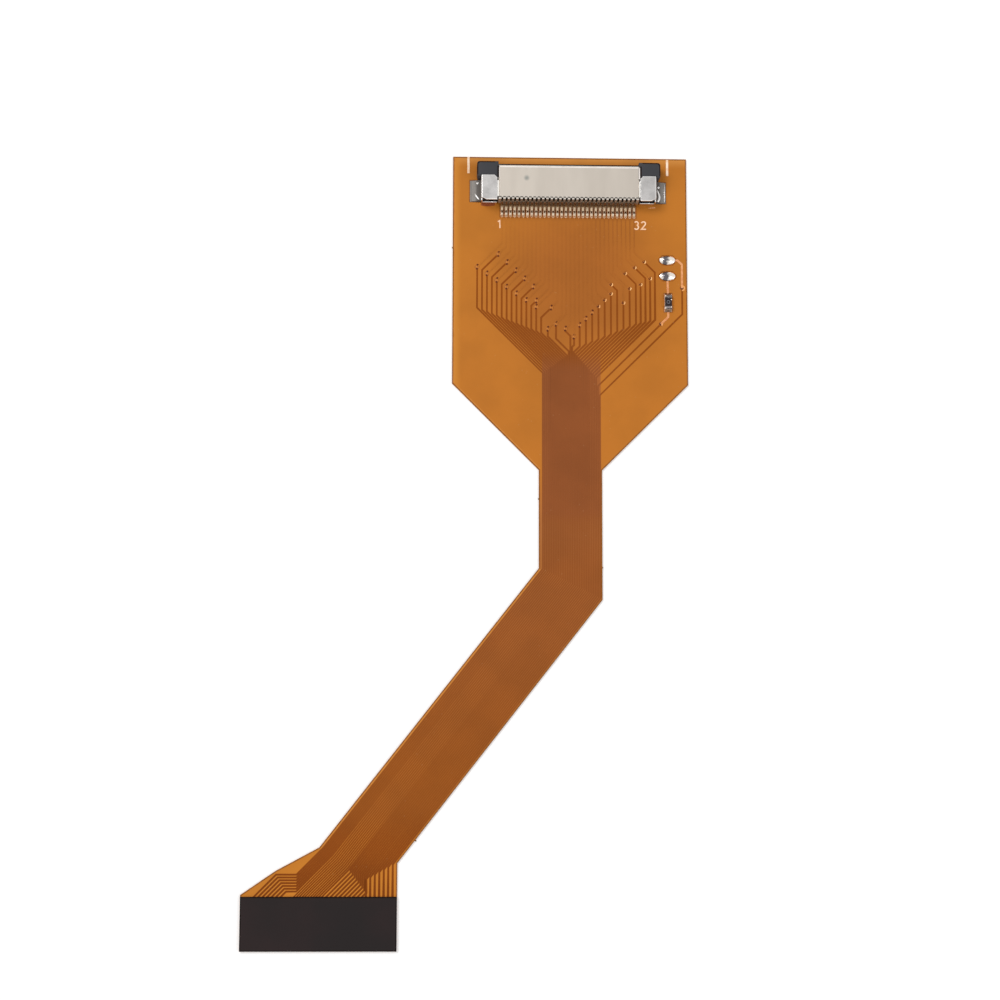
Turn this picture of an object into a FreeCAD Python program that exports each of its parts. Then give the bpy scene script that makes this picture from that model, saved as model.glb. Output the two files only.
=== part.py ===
import FreeCAD, Part

import math
import os
import sys

import Sketcher
from FreeCAD import Vector

# Flat flexible printed circuit: a head with a 32-way surface-mount connector, a neck, a slanted
# ribbon and a stiffened 34-way plug-in tail. Lengths are millimetres.
# The sheet frame has X to the right, Y up the cable and its zero at the middle of the head's
# top edge; Z is up from the underside of the back cover film. Drops are distances below that edge.
# The finished pieces are placed so that zero is under the middle of the whole part.

SIZES = {
    # film outline
    "board_width": 27.4,
    "board_side": 27.0,
    "neck_width": 7.3,
    "left_bend": 48.4,
    "right_bend": 52.0,
    "ribbon_angle": 52.0,
    "tail_inset": 19.55,
    "tail_margin": 0.5,
    "tail_run": 9.7,
    "tail_side": 6.2,
    "shoulder_in": 8.75,
    "knee_in": 3.9,
    "knee_rise": 2.65,
    "stiffener_length": 6.0,
    "stiffener_thick": 0.16,
    # film stack
    "cover_thick": 0.05,
    "base_thick": 0.05,
    "copper_thick": 0.02,
    "far_print": 0.01,
    "near_print": 0.02,
    # copper lines
    "line_width": 0.1,
    "neck_pitch": 0.2,
    "bundle_shift": 0.12,
    "ribbon_margin": 0.4,
    "ribbon_pitch": 0.22,
    "turn_in": 6.25,
    "flare_rise": 2.24,
    "fan_fall": 1.23,
    "drop_fall": 0.3,
    "finger_pitch": 0.5,
    "finger_width": 0.3,
    "finger_length": 3.5,
    "finger_setback": 0.2,
    "bare_length": 3.9,
    "via_across": 0.26,
    # line columns and vias of the left wing
    "left_column": 10.84,
    "left_pitch": 0.574,
    "left_via": 13.2,
    "left_via_step": 0.39,
    "left_kink": 13.55,
    "left_kink_step": 0.42,
    "left_reach": 1.9,
    "left_reach_step": 0.06,
    "short_reach": 0.6,
    "last_kink": 19.15,
    "left_entry": 25.7,
    "left_entry_step": 0.15,
    # columns, vias and neck entries of the lines between the wings
    "column_a": -2.6,
    "column_b": -1.65,
    "column_c": -0.55,
    "column_d": 0.45,
    "via_a": 20.5,
    "via_b": 19.9,
    "via_c": 20.45,
    "via_d": 21.4,
    "entry_a": 23.6,
    "entry_b": 23.1,
    "entry_c": 21.3,
    "entry_d": 22.6,
    # line columns and vias of the right wing
    "right_column": 1.11,
    "right_pitch": 0.73,
    "right_via": 20.0,
    "right_via_step": 0.75,
    "right_entry": 23.2,
    "right_entry_step": 0.23,
    "bent_kink": 15.84,
    "bent_reach": 0.7,
    "low_via": 17.3,
    "low_jog": 15.3,
    "high_via": 15.6,
    "outer_pitch": 0.56,
    "outer_via": 15.1,
    "outer_via_step": 0.36,
    "outer_kink": 15.05,
    "outer_kink_step": 0.35,
    "outer_reach": 1.25,
    # contact pads and solder
    "pin_pitch": 0.5,
    "connector_shift": 0.22,
    "pad_width": 0.3,
    "pad_lead": 0.08,
    "toe_fillet": 0.5,
    "window_rim": 0.1,
    "window_cut": 0.45,
    "solder_rise": 0.02,
    "solder_width": 0.26,
    "toe_rise": 0.13,
    # connector housing
    "housing_room": 0.45,
    "housing_front": 1.3,
    "housing_deep": 4.2,
    "housing_high": 1.66,
    "mouth_wall": 0.25,
    "mouth_floor": 0.35,
    "mouth_high": 0.9,
    "mouth_depth": 2.6,
    "tongue_gap": 0.2,
    "tongue_inset": 0.6,
    "tongue_thick": 0.26,
    "block_out": 2.5,
    "block_ahead": 0.3,
    "block_long": 1.85,
    "block_round": 0.3,
    "cheek_out": 1.85,
    "cheek_inset": 0.2,
    "end_high": 1.72,
    "notch_deep": 0.3,
    "slot_play": 0.02,
    "slot_high": 0.2,
    # connector metal
    "metal_thick": 0.15,
    "shell_side": 0.03,
    "shell_inset": 0.15,
    "shell_round": 0.08,
    "comb_width": 0.26,
    "comb_length": 0.3,
    "contact_width": 0.2,
    "contact_thick": 0.15,
    "contact_level": 0.85,
    "tip_inset": 0.1,
    "leg_gap": 0.03,
    "leg_inset": 0.09,
    "leg_lean": 0.35,
    "foot_run": 0.68,
    "bracket_gap": 0.06,
    "bracket_inset": 0.15,
    "bracket_start": 1.36,
    "bracket_overhang": 0.1,
    "bracket_round": 0.08,
    "corner_cut": 0.3,
    "rear_tab_high": 0.55,
    "wall_lift": 0.03,
    "foot_inset": 0.25,
    "foot_long": 1.0,
    "pad_edge": 0.3,
    "bracket_solder_high": 0.45,
    "solder_hollow": 0.42,
    # solder jumpers, link lines and chip resistor
    "jumper_x": 11.4,
    "jumper_drop": 12.2,
    "jumper_step": 1.9,
    "jumper_long": 2.0,
    "jumper_short": 1.1,
    "jumper_rise": 0.3,
    "link_x": 13.1,
    "link_width": 0.22,
    "link_turn_in": 0.5,
    "link_via": 15.5,
    "link_fall": 18.6,
    "chip_x": 11.45,
    "chip_drop": 17.25,
    "chip_long": 1.6,
    "chip_wide": 0.8,
    "chip_high": 0.4,
    "coat_thick": 0.03,
    "cap_long": 0.3,
    "cap_thick": 0.04,
    "chip_pad_long": 0.6,
    "chip_pad_wide": 0.9,
    "chip_solder_high": 0.25,
    "chip_via_x": 10.6,
    "chip_via": 19.8,
}

# Places that are sums of sizes; a leading minus takes that size away.
PLACES = {
    "housing_half": ("pins_half", "housing_room"),
    "base_level": ("cover_thick", "copper_thick"),
    "front_copper_level": ("base_level", "base_thick"),
    "pad_level": ("front_copper_level", "copper_thick"),
    "top_level": ("pad_level", "cover_thick"),
    "foot_level": ("pad_level", "solder_rise"),
    "housing_rear": ("housing_front", "housing_deep"),
    "housing_level": ("top_level", "housing_high"),
    "end_level": ("top_level", "end_high"),
    "mouth_half": ("housing_half", "-mouth_wall"),
    "mouth_back": ("housing_front", "mouth_depth"),
    "mouth_level": ("top_level", "mouth_floor"),
    "tongue_half": ("mouth_half", "-tongue_gap"),
    "tongue_front": ("housing_front", "tongue_inset"),
    "block_half": ("housing_half", "block_out"),
    "block_front": ("housing_front", "-block_ahead"),
    "block_rear": ("block_front", "block_long"),
    "cheek_half": ("housing_half", "cheek_out"),
    "cheek_rear": ("housing_rear", "-cheek_inset"),
    "notch_front": ("housing_rear", "-notch_deep"),
    "shell_half": ("housing_half", "-shell_side"),
    "strip_inner": ("shell_half", "-slot_play"),
    "strip_outer": ("bracket_inner", "-slot_play"),
    "shell_front": ("housing_front", "shell_inset"),
    "shell_rear": ("housing_rear", "-comb_length"),
    "contact_tip": ("tongue_front", "tip_inset"),
    "contact_knee": ("housing_rear", "leg_gap", "leg_inset"),
    "contact_heel": ("contact_knee", "leg_lean"),
    "contact_toe": ("contact_heel", "foot_run"),
    "pad_drop": ("contact_heel", "-leg_inset", "-pad_lead"),
    "pad_foot": ("contact_toe", "toe_fillet"),
    "pads_edge": ("pad_foot", "window_rim"),
    "bracket_inner": ("housing_half", "bracket_inset"),
    "bracket_outer": ("cheek_half", "metal_thick"),
    "bracket_front": ("housing_front", "bracket_start"),
    "bracket_rear": ("housing_rear", "bracket_overhang"),
    "block_step": ("bracket_front", "-bracket_gap"),
    "block_inner": ("bracket_outer", "bracket_gap"),
    "tab_front": ("bracket_rear", "-metal_thick"),
    "foot_front": ("bracket_front", "foot_inset"),
    "foot_rear": ("bracket_rear", "-foot_inset"),
    "foot_reach": ("bracket_outer", "foot_long"),
    "bracket_pad_reach": ("foot_reach", "pad_edge"),
}

COUNTS = {
    "line_count": 34,
    "pin_count": 32,
    "left_count": 14,
    "right_count": 14,
    "short_line": 11,
    "bent_line": 24,
    "low_line": 25,
    "flat_turns": 7,
    "slant_turns": 18,
    "drop_turns": 27,
    "disc_sides": 8,
    "dome_sides": 16,
    "dome_levels": 4,
}
MIDDLE_LINES = "abcd"

# Half the span of the contacts, which follows from their count and pitch.
PINS_HALF = "pins_half"
PINS_HALF_CELL = "((Sizes.pin_count - 1) * Sizes.pin_pitch / 2)"

doc = FreeCAD.newDocument("flex_adapter")
sheet = doc.addObject("Spreadsheet::Sheet", "Sizes")
for row, (alias, number) in enumerate({**SIZES, **COUNTS}.items(), start=1):
    sheet.set(f"A{row}", alias)
    sheet.set(f"B{row}", str(number))
    sheet.setAlias(f"B{row}", alias)
doc.recompute()


def terms(alias):
    """List the signed sizes whose sum a size or place is."""
    signed = []
    for term in PLACES.get(alias, ()):
        sign = -1 if term.startswith("-") else 1
        signed.extend((sign * inner, name) for inner, name in terms(term.lstrip("-")))
    return signed or [(1, alias)]


def count(alias):
    """Read one whole number of the sheet."""
    return round(getattr(sheet, alias))


def number_of(name):
    """Read one cell, or the half span of the contacts, as a number."""
    if name == PINS_HALF:
        return (count("pin_count") - 1) * number_of("pin_pitch") / 2
    return float(getattr(sheet, name))


def name_of(name):
    """Name one cell, or the half span of the contacts, for an expression."""
    return PINS_HALF_CELL if name == PINS_HALF else f"Sizes.{name}"


def size(alias):
    """Read one size or place as a number."""
    return sum(sign * number_of(name) for sign, name in terms(alias))


def cell(alias):
    """Name one size or place for an expression."""
    signed = [f"{'+' if sign > 0 else '-'} {name_of(name)}" for sign, name in terms(alias)]
    return f"(0 {' '.join(signed)})" if alias in PLACES else name_of(alias)


LINES = count("line_count")
PINS = count("pin_count")
LEFT_WING = count("left_count")
RIGHT_WING = LEFT_WING + len(MIDDLE_LINES)
LOW_LINE = count("low_line")
HIGH_LINE = LOW_LINE + 1
OUTER_WING = HIGH_LINE + 1
CHIP_LINE = RIGHT_WING + count("right_count")
SLOPE = math.tan(math.radians(size("ribbon_angle")))
LEAN = math.cos(math.radians(size("ribbon_angle")))

# Levels of the film stack.
BACK_COPPER = size("cover_thick")
BASE = size("base_level")
FRONT_COPPER = size("front_copper_level")
FRONT_COVER = size("pad_level")
TOP = size("top_level")
FOOT = size("foot_level")

# Edges of the tail, as numbers and as expressions.
TAIL_LEFT = -size("tail_inset") - 2 * size("tail_margin") - (LINES - 1) * size("finger_pitch")
TAIL_END = -size("right_bend") - (size("neck_width") / 2 + size("tail_inset")) * SLOPE - size("tail_run")
TAIL_TOP = TAIL_END + size("tail_side")
TAN_CELL = f"tan({cell('ribbon_angle')} * 1deg)"
LEFT_CELL = (
    f"(-{cell('tail_inset')} - 2 * {cell('tail_margin')}"
    f" - ({cell('line_count')} - 1) * {cell('finger_pitch')})"
)
CORNER_CELL = f"(-{cell('right_bend')} - ({cell('neck_width')} / 2 + {cell('tail_inset')}) * {TAN_CELL})"
END_CELL = f"({CORNER_CELL} - {cell('tail_run')})"
SIDE_CELL = f"({END_CELL} + {cell('tail_side')})"
STIFFENER_CELL = f"({END_CELL} + {cell('stiffener_length')})"
CENTRE_X_CELL = f"(-({LEFT_CELL} + {cell('board_width')} / 2) / 2)"
CENTRE_Y_CELL = f"(-{END_CELL} / 2)"

# The row of contacts.
PIN_START = -size(PINS_HALF) - size("connector_shift")
PIN_START_CELL = f"(-{cell(PINS_HALF)} - {cell('connector_shift')})"
PIN_SPAN_CELL = f"2 * {cell(PINS_HALF)}"

sub_parts = []


def keep(feature, label, x="0", y="0", z="0"):
    """Place a finished sub-part and list it under the name of its file."""
    feature.Label = label
    feature.setExpression("Placement.Base.x", f"{CENTRE_X_CELL} + {x}")
    feature.setExpression("Placement.Base.y", f"{CENTRE_Y_CELL} + {y}")
    feature.setExpression("Placement.Base.z", z)
    sub_parts.append(feature)


def shaped(label, shape):
    """Make a feature that holds a shape worked out with Part."""
    feature = doc.addObject("Part::Feature", label)
    feature.Shape = shape
    return feature


def new_body(name):
    """Start a body that may hold several separate solids."""
    body = doc.addObject("PartDesign::Body", name)
    body.AllowCompound = True
    return body


def origin_feature(body, role):
    """Find an origin plane or axis of a body by its role."""
    return next(feature for feature in body.Origin.OriginFeatures if feature.Role == role)


def polygon(body, name, outlines, role="XY_Plane", lift="0"):
    """Sketch closed outlines whose corners are pairs of expressions."""
    sketch = body.newObject("Sketcher::SketchObject", name)
    sketch.AttachmentSupport = [(origin_feature(body, role), "")]
    sketch.MapMode = "FlatFace"
    sketch.setExpression("AttachmentOffset.Base.z", lift)
    for corners in outlines:
        first = sketch.GeometryCount
        turn = 2 * math.pi / len(corners)
        ring = [Vector(math.cos(turn * k), math.sin(turn * k), 0) for k in range(len(corners))]
        for k, point in enumerate(ring):
            sketch.addGeometry(Part.LineSegment(point, ring[(k + 1) % len(ring)]))
        for k, corner in enumerate(corners):
            edge = first + k
            after = first + (k + 1) % len(corners)
            sketch.addConstraint(Sketcher.Constraint("Coincident", edge, 2, after, 1))
            for kind, place in zip(("DistanceX", "DistanceY"), corner):
                index = sketch.addConstraint(Sketcher.Constraint(kind, -1, 1, edge, 1, 1.0))
                constraint_name = f"{kind}{edge}"
                sketch.renameConstraint(index, constraint_name)
                sketch.setExpression(f"Constraints.{constraint_name}", place)
    return sketch


def box_corners(left, low, right, high):
    """List the corners of a rectangle of expressions."""
    return ((left, low), (right, low), (right, high), (left, high))


def pad(body, name, sketch, length):
    """Raise a sketch by an expression's length."""
    feature = body.newObject("PartDesign::Pad", name)
    feature.Profile = sketch
    feature.setExpression("Length", length)
    return feature


def pocket(body, name, sketch, length):
    """Cut a sketch to an expression's depth, against the sketch's own direction."""
    feature = body.newObject("PartDesign::Pocket", name)
    feature.Profile = sketch
    feature.setExpression("Length", length)
    return feature


def soften(body, name, feature, kind, amount, chosen):
    """Fillet or chamfer the edges of a feature that a test picks out."""
    doc.recompute()
    edges = [f"Edge{n}" for n, edge in enumerate(feature.Shape.Edges, start=1) if chosen(edge)]
    dressing = body.newObject(f"PartDesign::{kind}", name)
    dressing.Base = (feature, edges)
    dressing.setExpression("Radius" if kind == "Fillet" else "Size", amount)
    return dressing


def repeat(body, name, features, span, copies):
    """Repeat features along X over a span."""
    pattern = body.newObject("PartDesign::LinearPattern", name)
    pattern.Originals = features
    pattern.Direction = (origin_feature(body, "X_Axis"), [""])
    pattern.setExpression("Length", span)
    pattern.setExpression("Occurrences", copies)
    body.Tip = pattern
    return pattern


def film_outline(bottom):
    """List the corners of the film, down to the given lower edge of the tail."""
    half_board = f"{cell('board_width')} / 2"
    half_neck = f"{cell('neck_width')} / 2"
    shoulder = f"({LEFT_CELL} + {cell('shoulder_in')})"
    neck_top = f"-{cell('board_side')} - ({cell('board_width')} - {cell('neck_width')}) / 2"
    return (
        (f"-{half_board}", "0"),
        (f"-{half_board}", f"-{cell('board_side')}"),
        (f"-{half_neck}", neck_top),
        (f"-{half_neck}", f"-{cell('left_bend')}"),
        (shoulder, f"-{cell('left_bend')} + ({shoulder} + {half_neck}) * {TAN_CELL}"),
        (f"{LEFT_CELL} + {cell('knee_in')}", f"{SIDE_CELL} + {cell('knee_rise')}"),
        (LEFT_CELL, SIDE_CELL),
        (LEFT_CELL, bottom),
        (f"-{cell('tail_inset')}", bottom),
        (f"-{cell('tail_inset')}", CORNER_CELL),
        (half_neck, f"-{cell('right_bend')}"),
        (half_neck, neck_top),
        (half_board, f"-{cell('board_side')}"),
        (half_board, "0"),
    )


def film(name, bottom, lift, thickness):
    """Die-cut one sheet of film."""
    body = new_body(name)
    outline = polygon(body, f"{name}_outline", [film_outline(bottom)], lift=lift)
    pad(body, f"{name}_sheet", outline, thickness)
    return body


def ribbon(points, width, low, high):
    """Extrude a line of constant width along points, with mitred corners."""
    flat = [Vector(x, y, 0) for x, y in points]
    headings = [(b - a).normalize() for a, b in zip(flat, flat[1:])]
    before = [headings[0], *headings]
    after = [*headings, headings[-1]]
    left = []
    right = []
    for point, arriving, leaving in zip(flat, before, after):
        bisector = (arriving + leaving).normalize()
        reach = width / 2 / bisector.dot(leaving)
        side = Vector(-bisector.y, bisector.x, 0) * reach
        left.append(point + side)
        right.append(point - side)
    ring = [*left, *reversed(right)]
    face = Part.Face(Part.makePolygon([*ring, ring[0]]))
    face.translate(Vector(0, 0, low))
    return face.extrude(Vector(0, 0, high - low))


def plate(left, low, right, high, bottom, top):
    """Make a rectangular plate between two levels."""
    return Part.makeBox(right - left, high - low, top - bottom, Vector(left, low, bottom))


def disc(middle, radius, low, high):
    """Make a low many-sided plug around a point."""
    sides = count("disc_sides")
    angles = [2 * math.pi * (side + 1 / 2) / sides for side in range(sides + 1)]
    ring = [Vector(middle[0] + radius * math.cos(a), middle[1] + radius * math.sin(a), low) for a in angles]
    return Part.Face(Part.makePolygon(ring)).extrude(Vector(0, 0, high - low))


def pin_x(line):
    """Give the place of a contact across the head."""
    return PIN_START + line * size("pin_pitch")


def finger_x(line):
    """Give the place of a finger across the tail."""
    return TAIL_LEFT + size("tail_margin") + line * size("finger_pitch")


def neck_x(line):
    """Give the place of a line across the neck."""
    return size("bundle_shift") + (line - (LINES - 1) / 2) * size("neck_pitch")


def left_wing_line(line):
    """Route a line of the left wing: its via, its kink if it has one, and its column's foot."""
    column = -size("left_column") + line * size("left_pitch")
    entry = -size("left_entry") + line * size("left_entry_step")
    foot = (column, entry + neck_x(line) - column)
    if line % 2 == 0:
        return [(column, -size("left_via") - line * size("left_via_step")), foot]
    kink = -size("left_kink") - (line - 1) * size("left_kink_step")
    reach = size("left_reach") - (line - 1) * size("left_reach_step")
    if line == count("short_line"):
        reach = size("short_reach")
    if line == LEFT_WING - 1:
        kink = -size("last_kink")
    return [(column + reach, kink + reach), (column, kink), foot]


def middle_line(line):
    """Route one of the lines between the wings."""
    mark = MIDDLE_LINES[line - LEFT_WING]
    column = size(f"column_{mark}")
    foot = abs(neck_x(line) - column) - size(f"entry_{mark}")
    return [(column, -size(f"via_{mark}")), (column, foot)]


def right_wing_line(line):
    """Route a line of the right wing: its via, its kink if it has one, and its column's foot."""
    outward = max(line - OUTER_WING, 0)
    place = min(line, OUTER_WING) - RIGHT_WING
    column = size("right_column") + place * size("right_pitch") + outward * size("outer_pitch")
    entry = -size("right_entry") - (line - RIGHT_WING) * size("right_entry_step")
    foot = (column, entry + column - neck_x(line))
    if line == count("bent_line"):
        kink = -size("bent_kink")
        reach = size("bent_reach")
        return [(column - reach, kink + reach), (column, kink), foot]
    if line == LOW_LINE:
        return [(column, -size("low_via")), foot]
    if line == HIGH_LINE:
        return [(column, -size("high_via")), foot]
    if line < LOW_LINE:
        return [(column, -size("right_via") + place * size("right_via_step")), foot]
    if outward % 2 == 1:
        return [(column, -size("outer_via") + (outward - 1) * size("outer_via_step")), foot]
    kink = -size("outer_kink") + outward * size("outer_kink_step")
    reach = size("outer_reach")
    return [(column - reach, kink + reach), (column, kink), foot]


def link_line(line):
    """Route the two lines that start at the resistor and at the upper jumper."""
    if line == CHIP_LINE:
        return [(size("chip_via_x"), -size("chip_via"))]
    return [(size("link_x"), -size("link_via")), (size("link_x"), -size("link_fall"))]


def head_route(line):
    """Give a line's points on the head, from its via to the corner above the neck."""
    if line < LEFT_WING:
        return left_wing_line(line)
    if line < RIGHT_WING:
        return middle_line(line)
    if line < CHIP_LINE:
        return right_wing_line(line)
    return link_line(line)


def ribbon_y(line, x):
    """Give the height of a line on the slanted ribbon."""
    margin = size("ribbon_margin") + line * size("ribbon_pitch")
    return -size("left_bend") + (x + size("neck_width") / 2) * SLOPE - margin / LEAN


def slant_row(line):
    """Give the height at which a slanting line crosses the column where the flat turns start."""
    return TAIL_TOP + size("flare_rise") - line * size("ribbon_pitch") * math.sqrt(2)


def slant_corner(line):
    """Give the point where a line leaves the ribbon's slope for 45 degrees."""
    turn_x = TAIL_LEFT + size("turn_in")
    x = (slant_row(line) - turn_x - ribbon_y(line, 0)) / (SLOPE - 1)
    return (x, ribbon_y(line, x))


def tail_route(line):
    """Give a line's points from the end of the ribbon to its finger."""
    x = finger_x(line)
    if line >= count("drop_turns"):
        return [(x, ribbon_y(line, x))]
    if line >= count("slant_turns"):
        last_slant = slant_corner(count("slant_turns") - 1)[0]
        drop = last_slant + (line - count("slant_turns") + 1) * size("ribbon_pitch")
        foot = TAIL_TOP - size("drop_fall")
        return [(drop, ribbon_y(line, drop)), (drop, foot + drop - x), (x, foot)]
    turn_x = TAIL_LEFT + size("turn_in")
    row = slant_row(line)
    if line >= count("flat_turns"):
        return [slant_corner(line), (x, row - turn_x + x)]
    fan_end = TAIL_TOP - size("fan_fall")
    return [slant_corner(line), (turn_x, row), (x + row - fan_end, row), (x, fan_end)]


def line_route(line):
    """Give every corner of a line, from its via to the top of its finger."""
    head = head_route(line)
    column, foot = head[-1]
    x = neck_x(line)
    bend = ribbon_y(line, x)
    finger_top = TAIL_END + size("finger_setback") + size("finger_length")
    neck = [(x, foot - abs(x - column)), (x, bend)]
    return [*head, *neck, *tail_route(line), (finger_x(line), finger_top)]


def pin_route(line):
    """Give the corners of a contact's line, from its pad to its via."""
    via_x, via_y = head_route(line)[0]
    x = pin_x(line)
    jog_end = -size("low_jog") if line == LOW_LINE else via_y
    jog_start = jog_end + abs(via_x - x)
    corners = [(x, -size("contact_toe")), (x, jog_start), (via_x, jog_end)]
    return [*corners, (via_x, via_y)] if jog_end != via_y else corners


def link_routes():
    """Give the corners of the three short lines of the jumpers and the resistor."""
    jumper = size("jumper_x")
    first = -size("jumper_drop")
    second = first - size("jumper_step")
    turn = size("link_x") - size("link_turn_in")
    chip_top = -size("chip_drop") + chip_pad_middle()
    chip_foot = -size("chip_drop") - chip_pad_middle()
    upper = [(jumper, first), (turn, first), (size("link_x"), first - size("link_turn_in"))]
    upper.append((size("link_x"), -size("link_via")))
    middle = [(jumper, second), (size("chip_x"), chip_top)]
    run = size("chip_x") - size("chip_via_x")
    lower = [(size("chip_x"), chip_foot), (size("chip_x"), -size("chip_via") + run)]
    lower.append((size("chip_via_x"), -size("chip_via")))
    return [upper, middle, lower]


def chip_pad_middle():
    """Give the distance from the resistor's middle to the middle of a pad."""
    return size("chip_long") / 2 - size("cap_long") / 2


def chip_pads():
    """Give the corners of the resistor's two pads."""
    half_wide = size("chip_pad_wide") / 2
    half_long = size("chip_pad_long") / 2
    x = size("chip_x")
    pads = []
    for side in (1, -1):
        y = -size("chip_drop") + side * (chip_pad_middle() + half_long / 2)
        pads.append((x - half_wide, y - half_long, x + half_wide, y + half_long))
    return pads


def jumper_boxes():
    """Give the corners of the boxes around the two jumper pads."""
    pads = []
    for place in range(2):
        y = -size("jumper_drop") - place * size("jumper_step")
        half_long = size("jumper_long") / 2
        half_short = size("jumper_short") / 2
        x = size("jumper_x")
        pads.append((x - half_long, y - half_short, x + half_long, y + half_short))
    return pads


def make_signal_lines():
    """Etch the 34 back lines, each with its plug-in finger."""
    solids = []
    half = size("finger_width") / 2
    low = TAIL_END + size("finger_setback")
    for line in range(LINES):
        x = finger_x(line)
        track = ribbon(line_route(line), size("line_width"), BACK_COPPER, BASE)
        finger = plate(x - half, low, x + half, low + size("finger_length"), BACK_COPPER, BASE)
        solids.append(track.fuse(finger).removeSplitter().Solids[0])
    keep(shaped("signal_lines", Part.makeCompound(solids)), "signal_lines")


def make_pin_lines():
    """Etch the 32 front lines, each with its contact pad."""
    solids = []
    half = size("pad_width") / 2
    high = -size("pad_drop")
    for line in range(PINS):
        x = pin_x(line)
        track = ribbon(pin_route(line), size("line_width"), FRONT_COPPER, FRONT_COVER)
        contact_pad = plate(x - half, -size("pad_foot"), x + half, high, FRONT_COPPER, FRONT_COVER)
        solids.append(track.fuse(contact_pad).removeSplitter().Solids[0])
    keep(shaped("pin_lines", Part.makeCompound(solids)), "pin_lines")


def jumper_land(place):
    """Make the oval copper pad of one jumper, as wide as its solder."""
    middle = Vector(size("jumper_x"), -size("jumper_drop") - place * size("jumper_step"), FRONT_COPPER)
    ring = [middle + dome_point(0, side) for side in range(count("dome_sides"))]
    face = Part.Face(Part.makePolygon([*ring, ring[0]]))
    return face.extrude(Vector(0, 0, FRONT_COVER - FRONT_COPPER))


def make_link_lines():
    """Etch the three wide lines of the jumpers and the resistor, with their pads."""
    chips = [plate(*corners, FRONT_COPPER, FRONT_COVER) for corners in chip_pads()]
    lands = [[jumper_land(0)], [jumper_land(1), chips[0]], [chips[1]]]
    solids = []
    for route, pads in zip(link_routes(), lands):
        shape = ribbon(route, size("link_width"), FRONT_COPPER, FRONT_COVER)
        for land in pads:
            shape = shape.fuse(land)
        solids.append(shape.removeSplitter().Solids[0])
    keep(shaped("link_lines", Part.makeCompound(solids)), "link_lines")


def bracket_pad(side):
    """Give the corners of the pad under one hold-down bracket."""
    inner = size("cheek_half")
    outer = size("bracket_pad_reach")
    low = -size("foot_rear") - size("window_rim") / 2
    high = -size("foot_front") + size("window_rim") / 2
    left, right = sorted((side * inner, side * outer))
    return (left - size("connector_shift"), low, right - size("connector_shift"), high)


def make_bracket_pads():
    """Etch the two pads that the connector's brackets are soldered to."""
    solids = [plate(*bracket_pad(side), FRONT_COPPER, FRONT_COVER) for side in (-1, 1)]
    keep(shaped("bracket_pads", Part.makeCompound(solids)), "bracket_pads")


def make_via_barrels():
    """Plate the barrels that join the two copper layers through the base film."""
    solids = []
    for line in range(LINES):
        solids.append(disc(head_route(line)[0], size("via_across") / 2, BASE, FRONT_COPPER))
    keep(shaped("via_barrels", Part.makeCompound(solids)), "via_barrels")


def make_base_film():
    """Cut the base film, with a hole for every via."""
    sheet_film = film("base_sheet", END_CELL, cell("base_level"), cell("base_thick"))
    holes = []
    for line in range(LINES):
        holes.append(disc(head_route(line)[0], size("via_across") / 2, BASE, FRONT_COPPER))
    drilled = doc.addObject("Part::Cut", "base_film")
    drilled.Base = sheet_film
    drilled.Tool = shaped("via_holes", Part.makeCompound(holes))
    keep(drilled, "base_film")


def make_back_cover_film():
    """Cut the back cover film, which leaves the fingers bare."""
    bottom = f"({END_CELL} + {cell('bare_length')})"
    keep(film("back_cover_film", bottom, "0", cell("cover_thick")), "back_cover_film")


def cut_corners(left, low, right, high, cut):
    """List the corners of a rectangle of expressions whose corners are cut off."""
    return (
        (f"{left} + {cut}", low),
        (f"{right} - {cut}", low),
        (right, f"{low} + {cut}"),
        (right, f"{high} - {cut}"),
        (f"{right} - {cut}", high),
        (f"{left} + {cut}", high),
        (left, f"{high} - {cut}"),
        (left, f"{low} + {cut}"),
    )


def window_corners():
    """List the openings of the front cover film, over every soldered pad."""
    rim = cell("window_rim")
    half_pad = f"{cell('pad_width')} / 2"
    pads_low = f"-{cell('pads_edge')}"
    pads_right = f"{PIN_START_CELL} + {PIN_SPAN_CELL} + {half_pad} + {rim}"
    windows = [box_corners(f"{PIN_START_CELL} - {half_pad} - {rim}", pads_low, pads_right,
                           f"-{cell('pad_drop')} + {rim}")]
    for side in ("-1", "1"):
        inner = f"{side} * {cell('cheek_half')} - {cell('connector_shift')}"
        outer = f"{side} * ({cell('bracket_pad_reach')} + {rim} / 2) - {cell('connector_shift')}"
        windows.append(box_corners(inner, f"-{cell('foot_rear')} - {rim}", outer,
                                   f"-{cell('foot_front')} + {rim}"))
    for place in ("0", "1"):
        middle = f"(-{cell('jumper_drop')} - {place} * {cell('jumper_step')})"
        half_long = f"({cell('jumper_long')} / 2 + {rim} / 2)"
        half_short = f"({cell('jumper_short')} / 2 + {rim} / 2)"
        windows.append(cut_corners(f"{cell('jumper_x')} - {half_long}", f"{middle} - {half_short}",
                                   f"{cell('jumper_x')} + {half_long}", f"{middle} + {half_short}",
                                   cell("window_cut")))
    for side in ("-1", "1"):
        pad_middle = f"({cell('chip_long')} / 2 - {cell('cap_long')} / 2 + {cell('chip_pad_long')} / 4)"
        middle = f"(-{cell('chip_drop')} + {side} * {pad_middle})"
        half_wide = f"({cell('chip_pad_wide')} / 2 + {rim} / 2)"
        half_long = f"({cell('chip_pad_long')} / 2 + {rim} / 2)"
        windows.append(box_corners(f"{cell('chip_x')} - {half_wide}", f"{middle} - {half_long}",
                                   f"{cell('chip_x')} + {half_wide}", f"{middle} + {half_long}"))
    return windows


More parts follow.
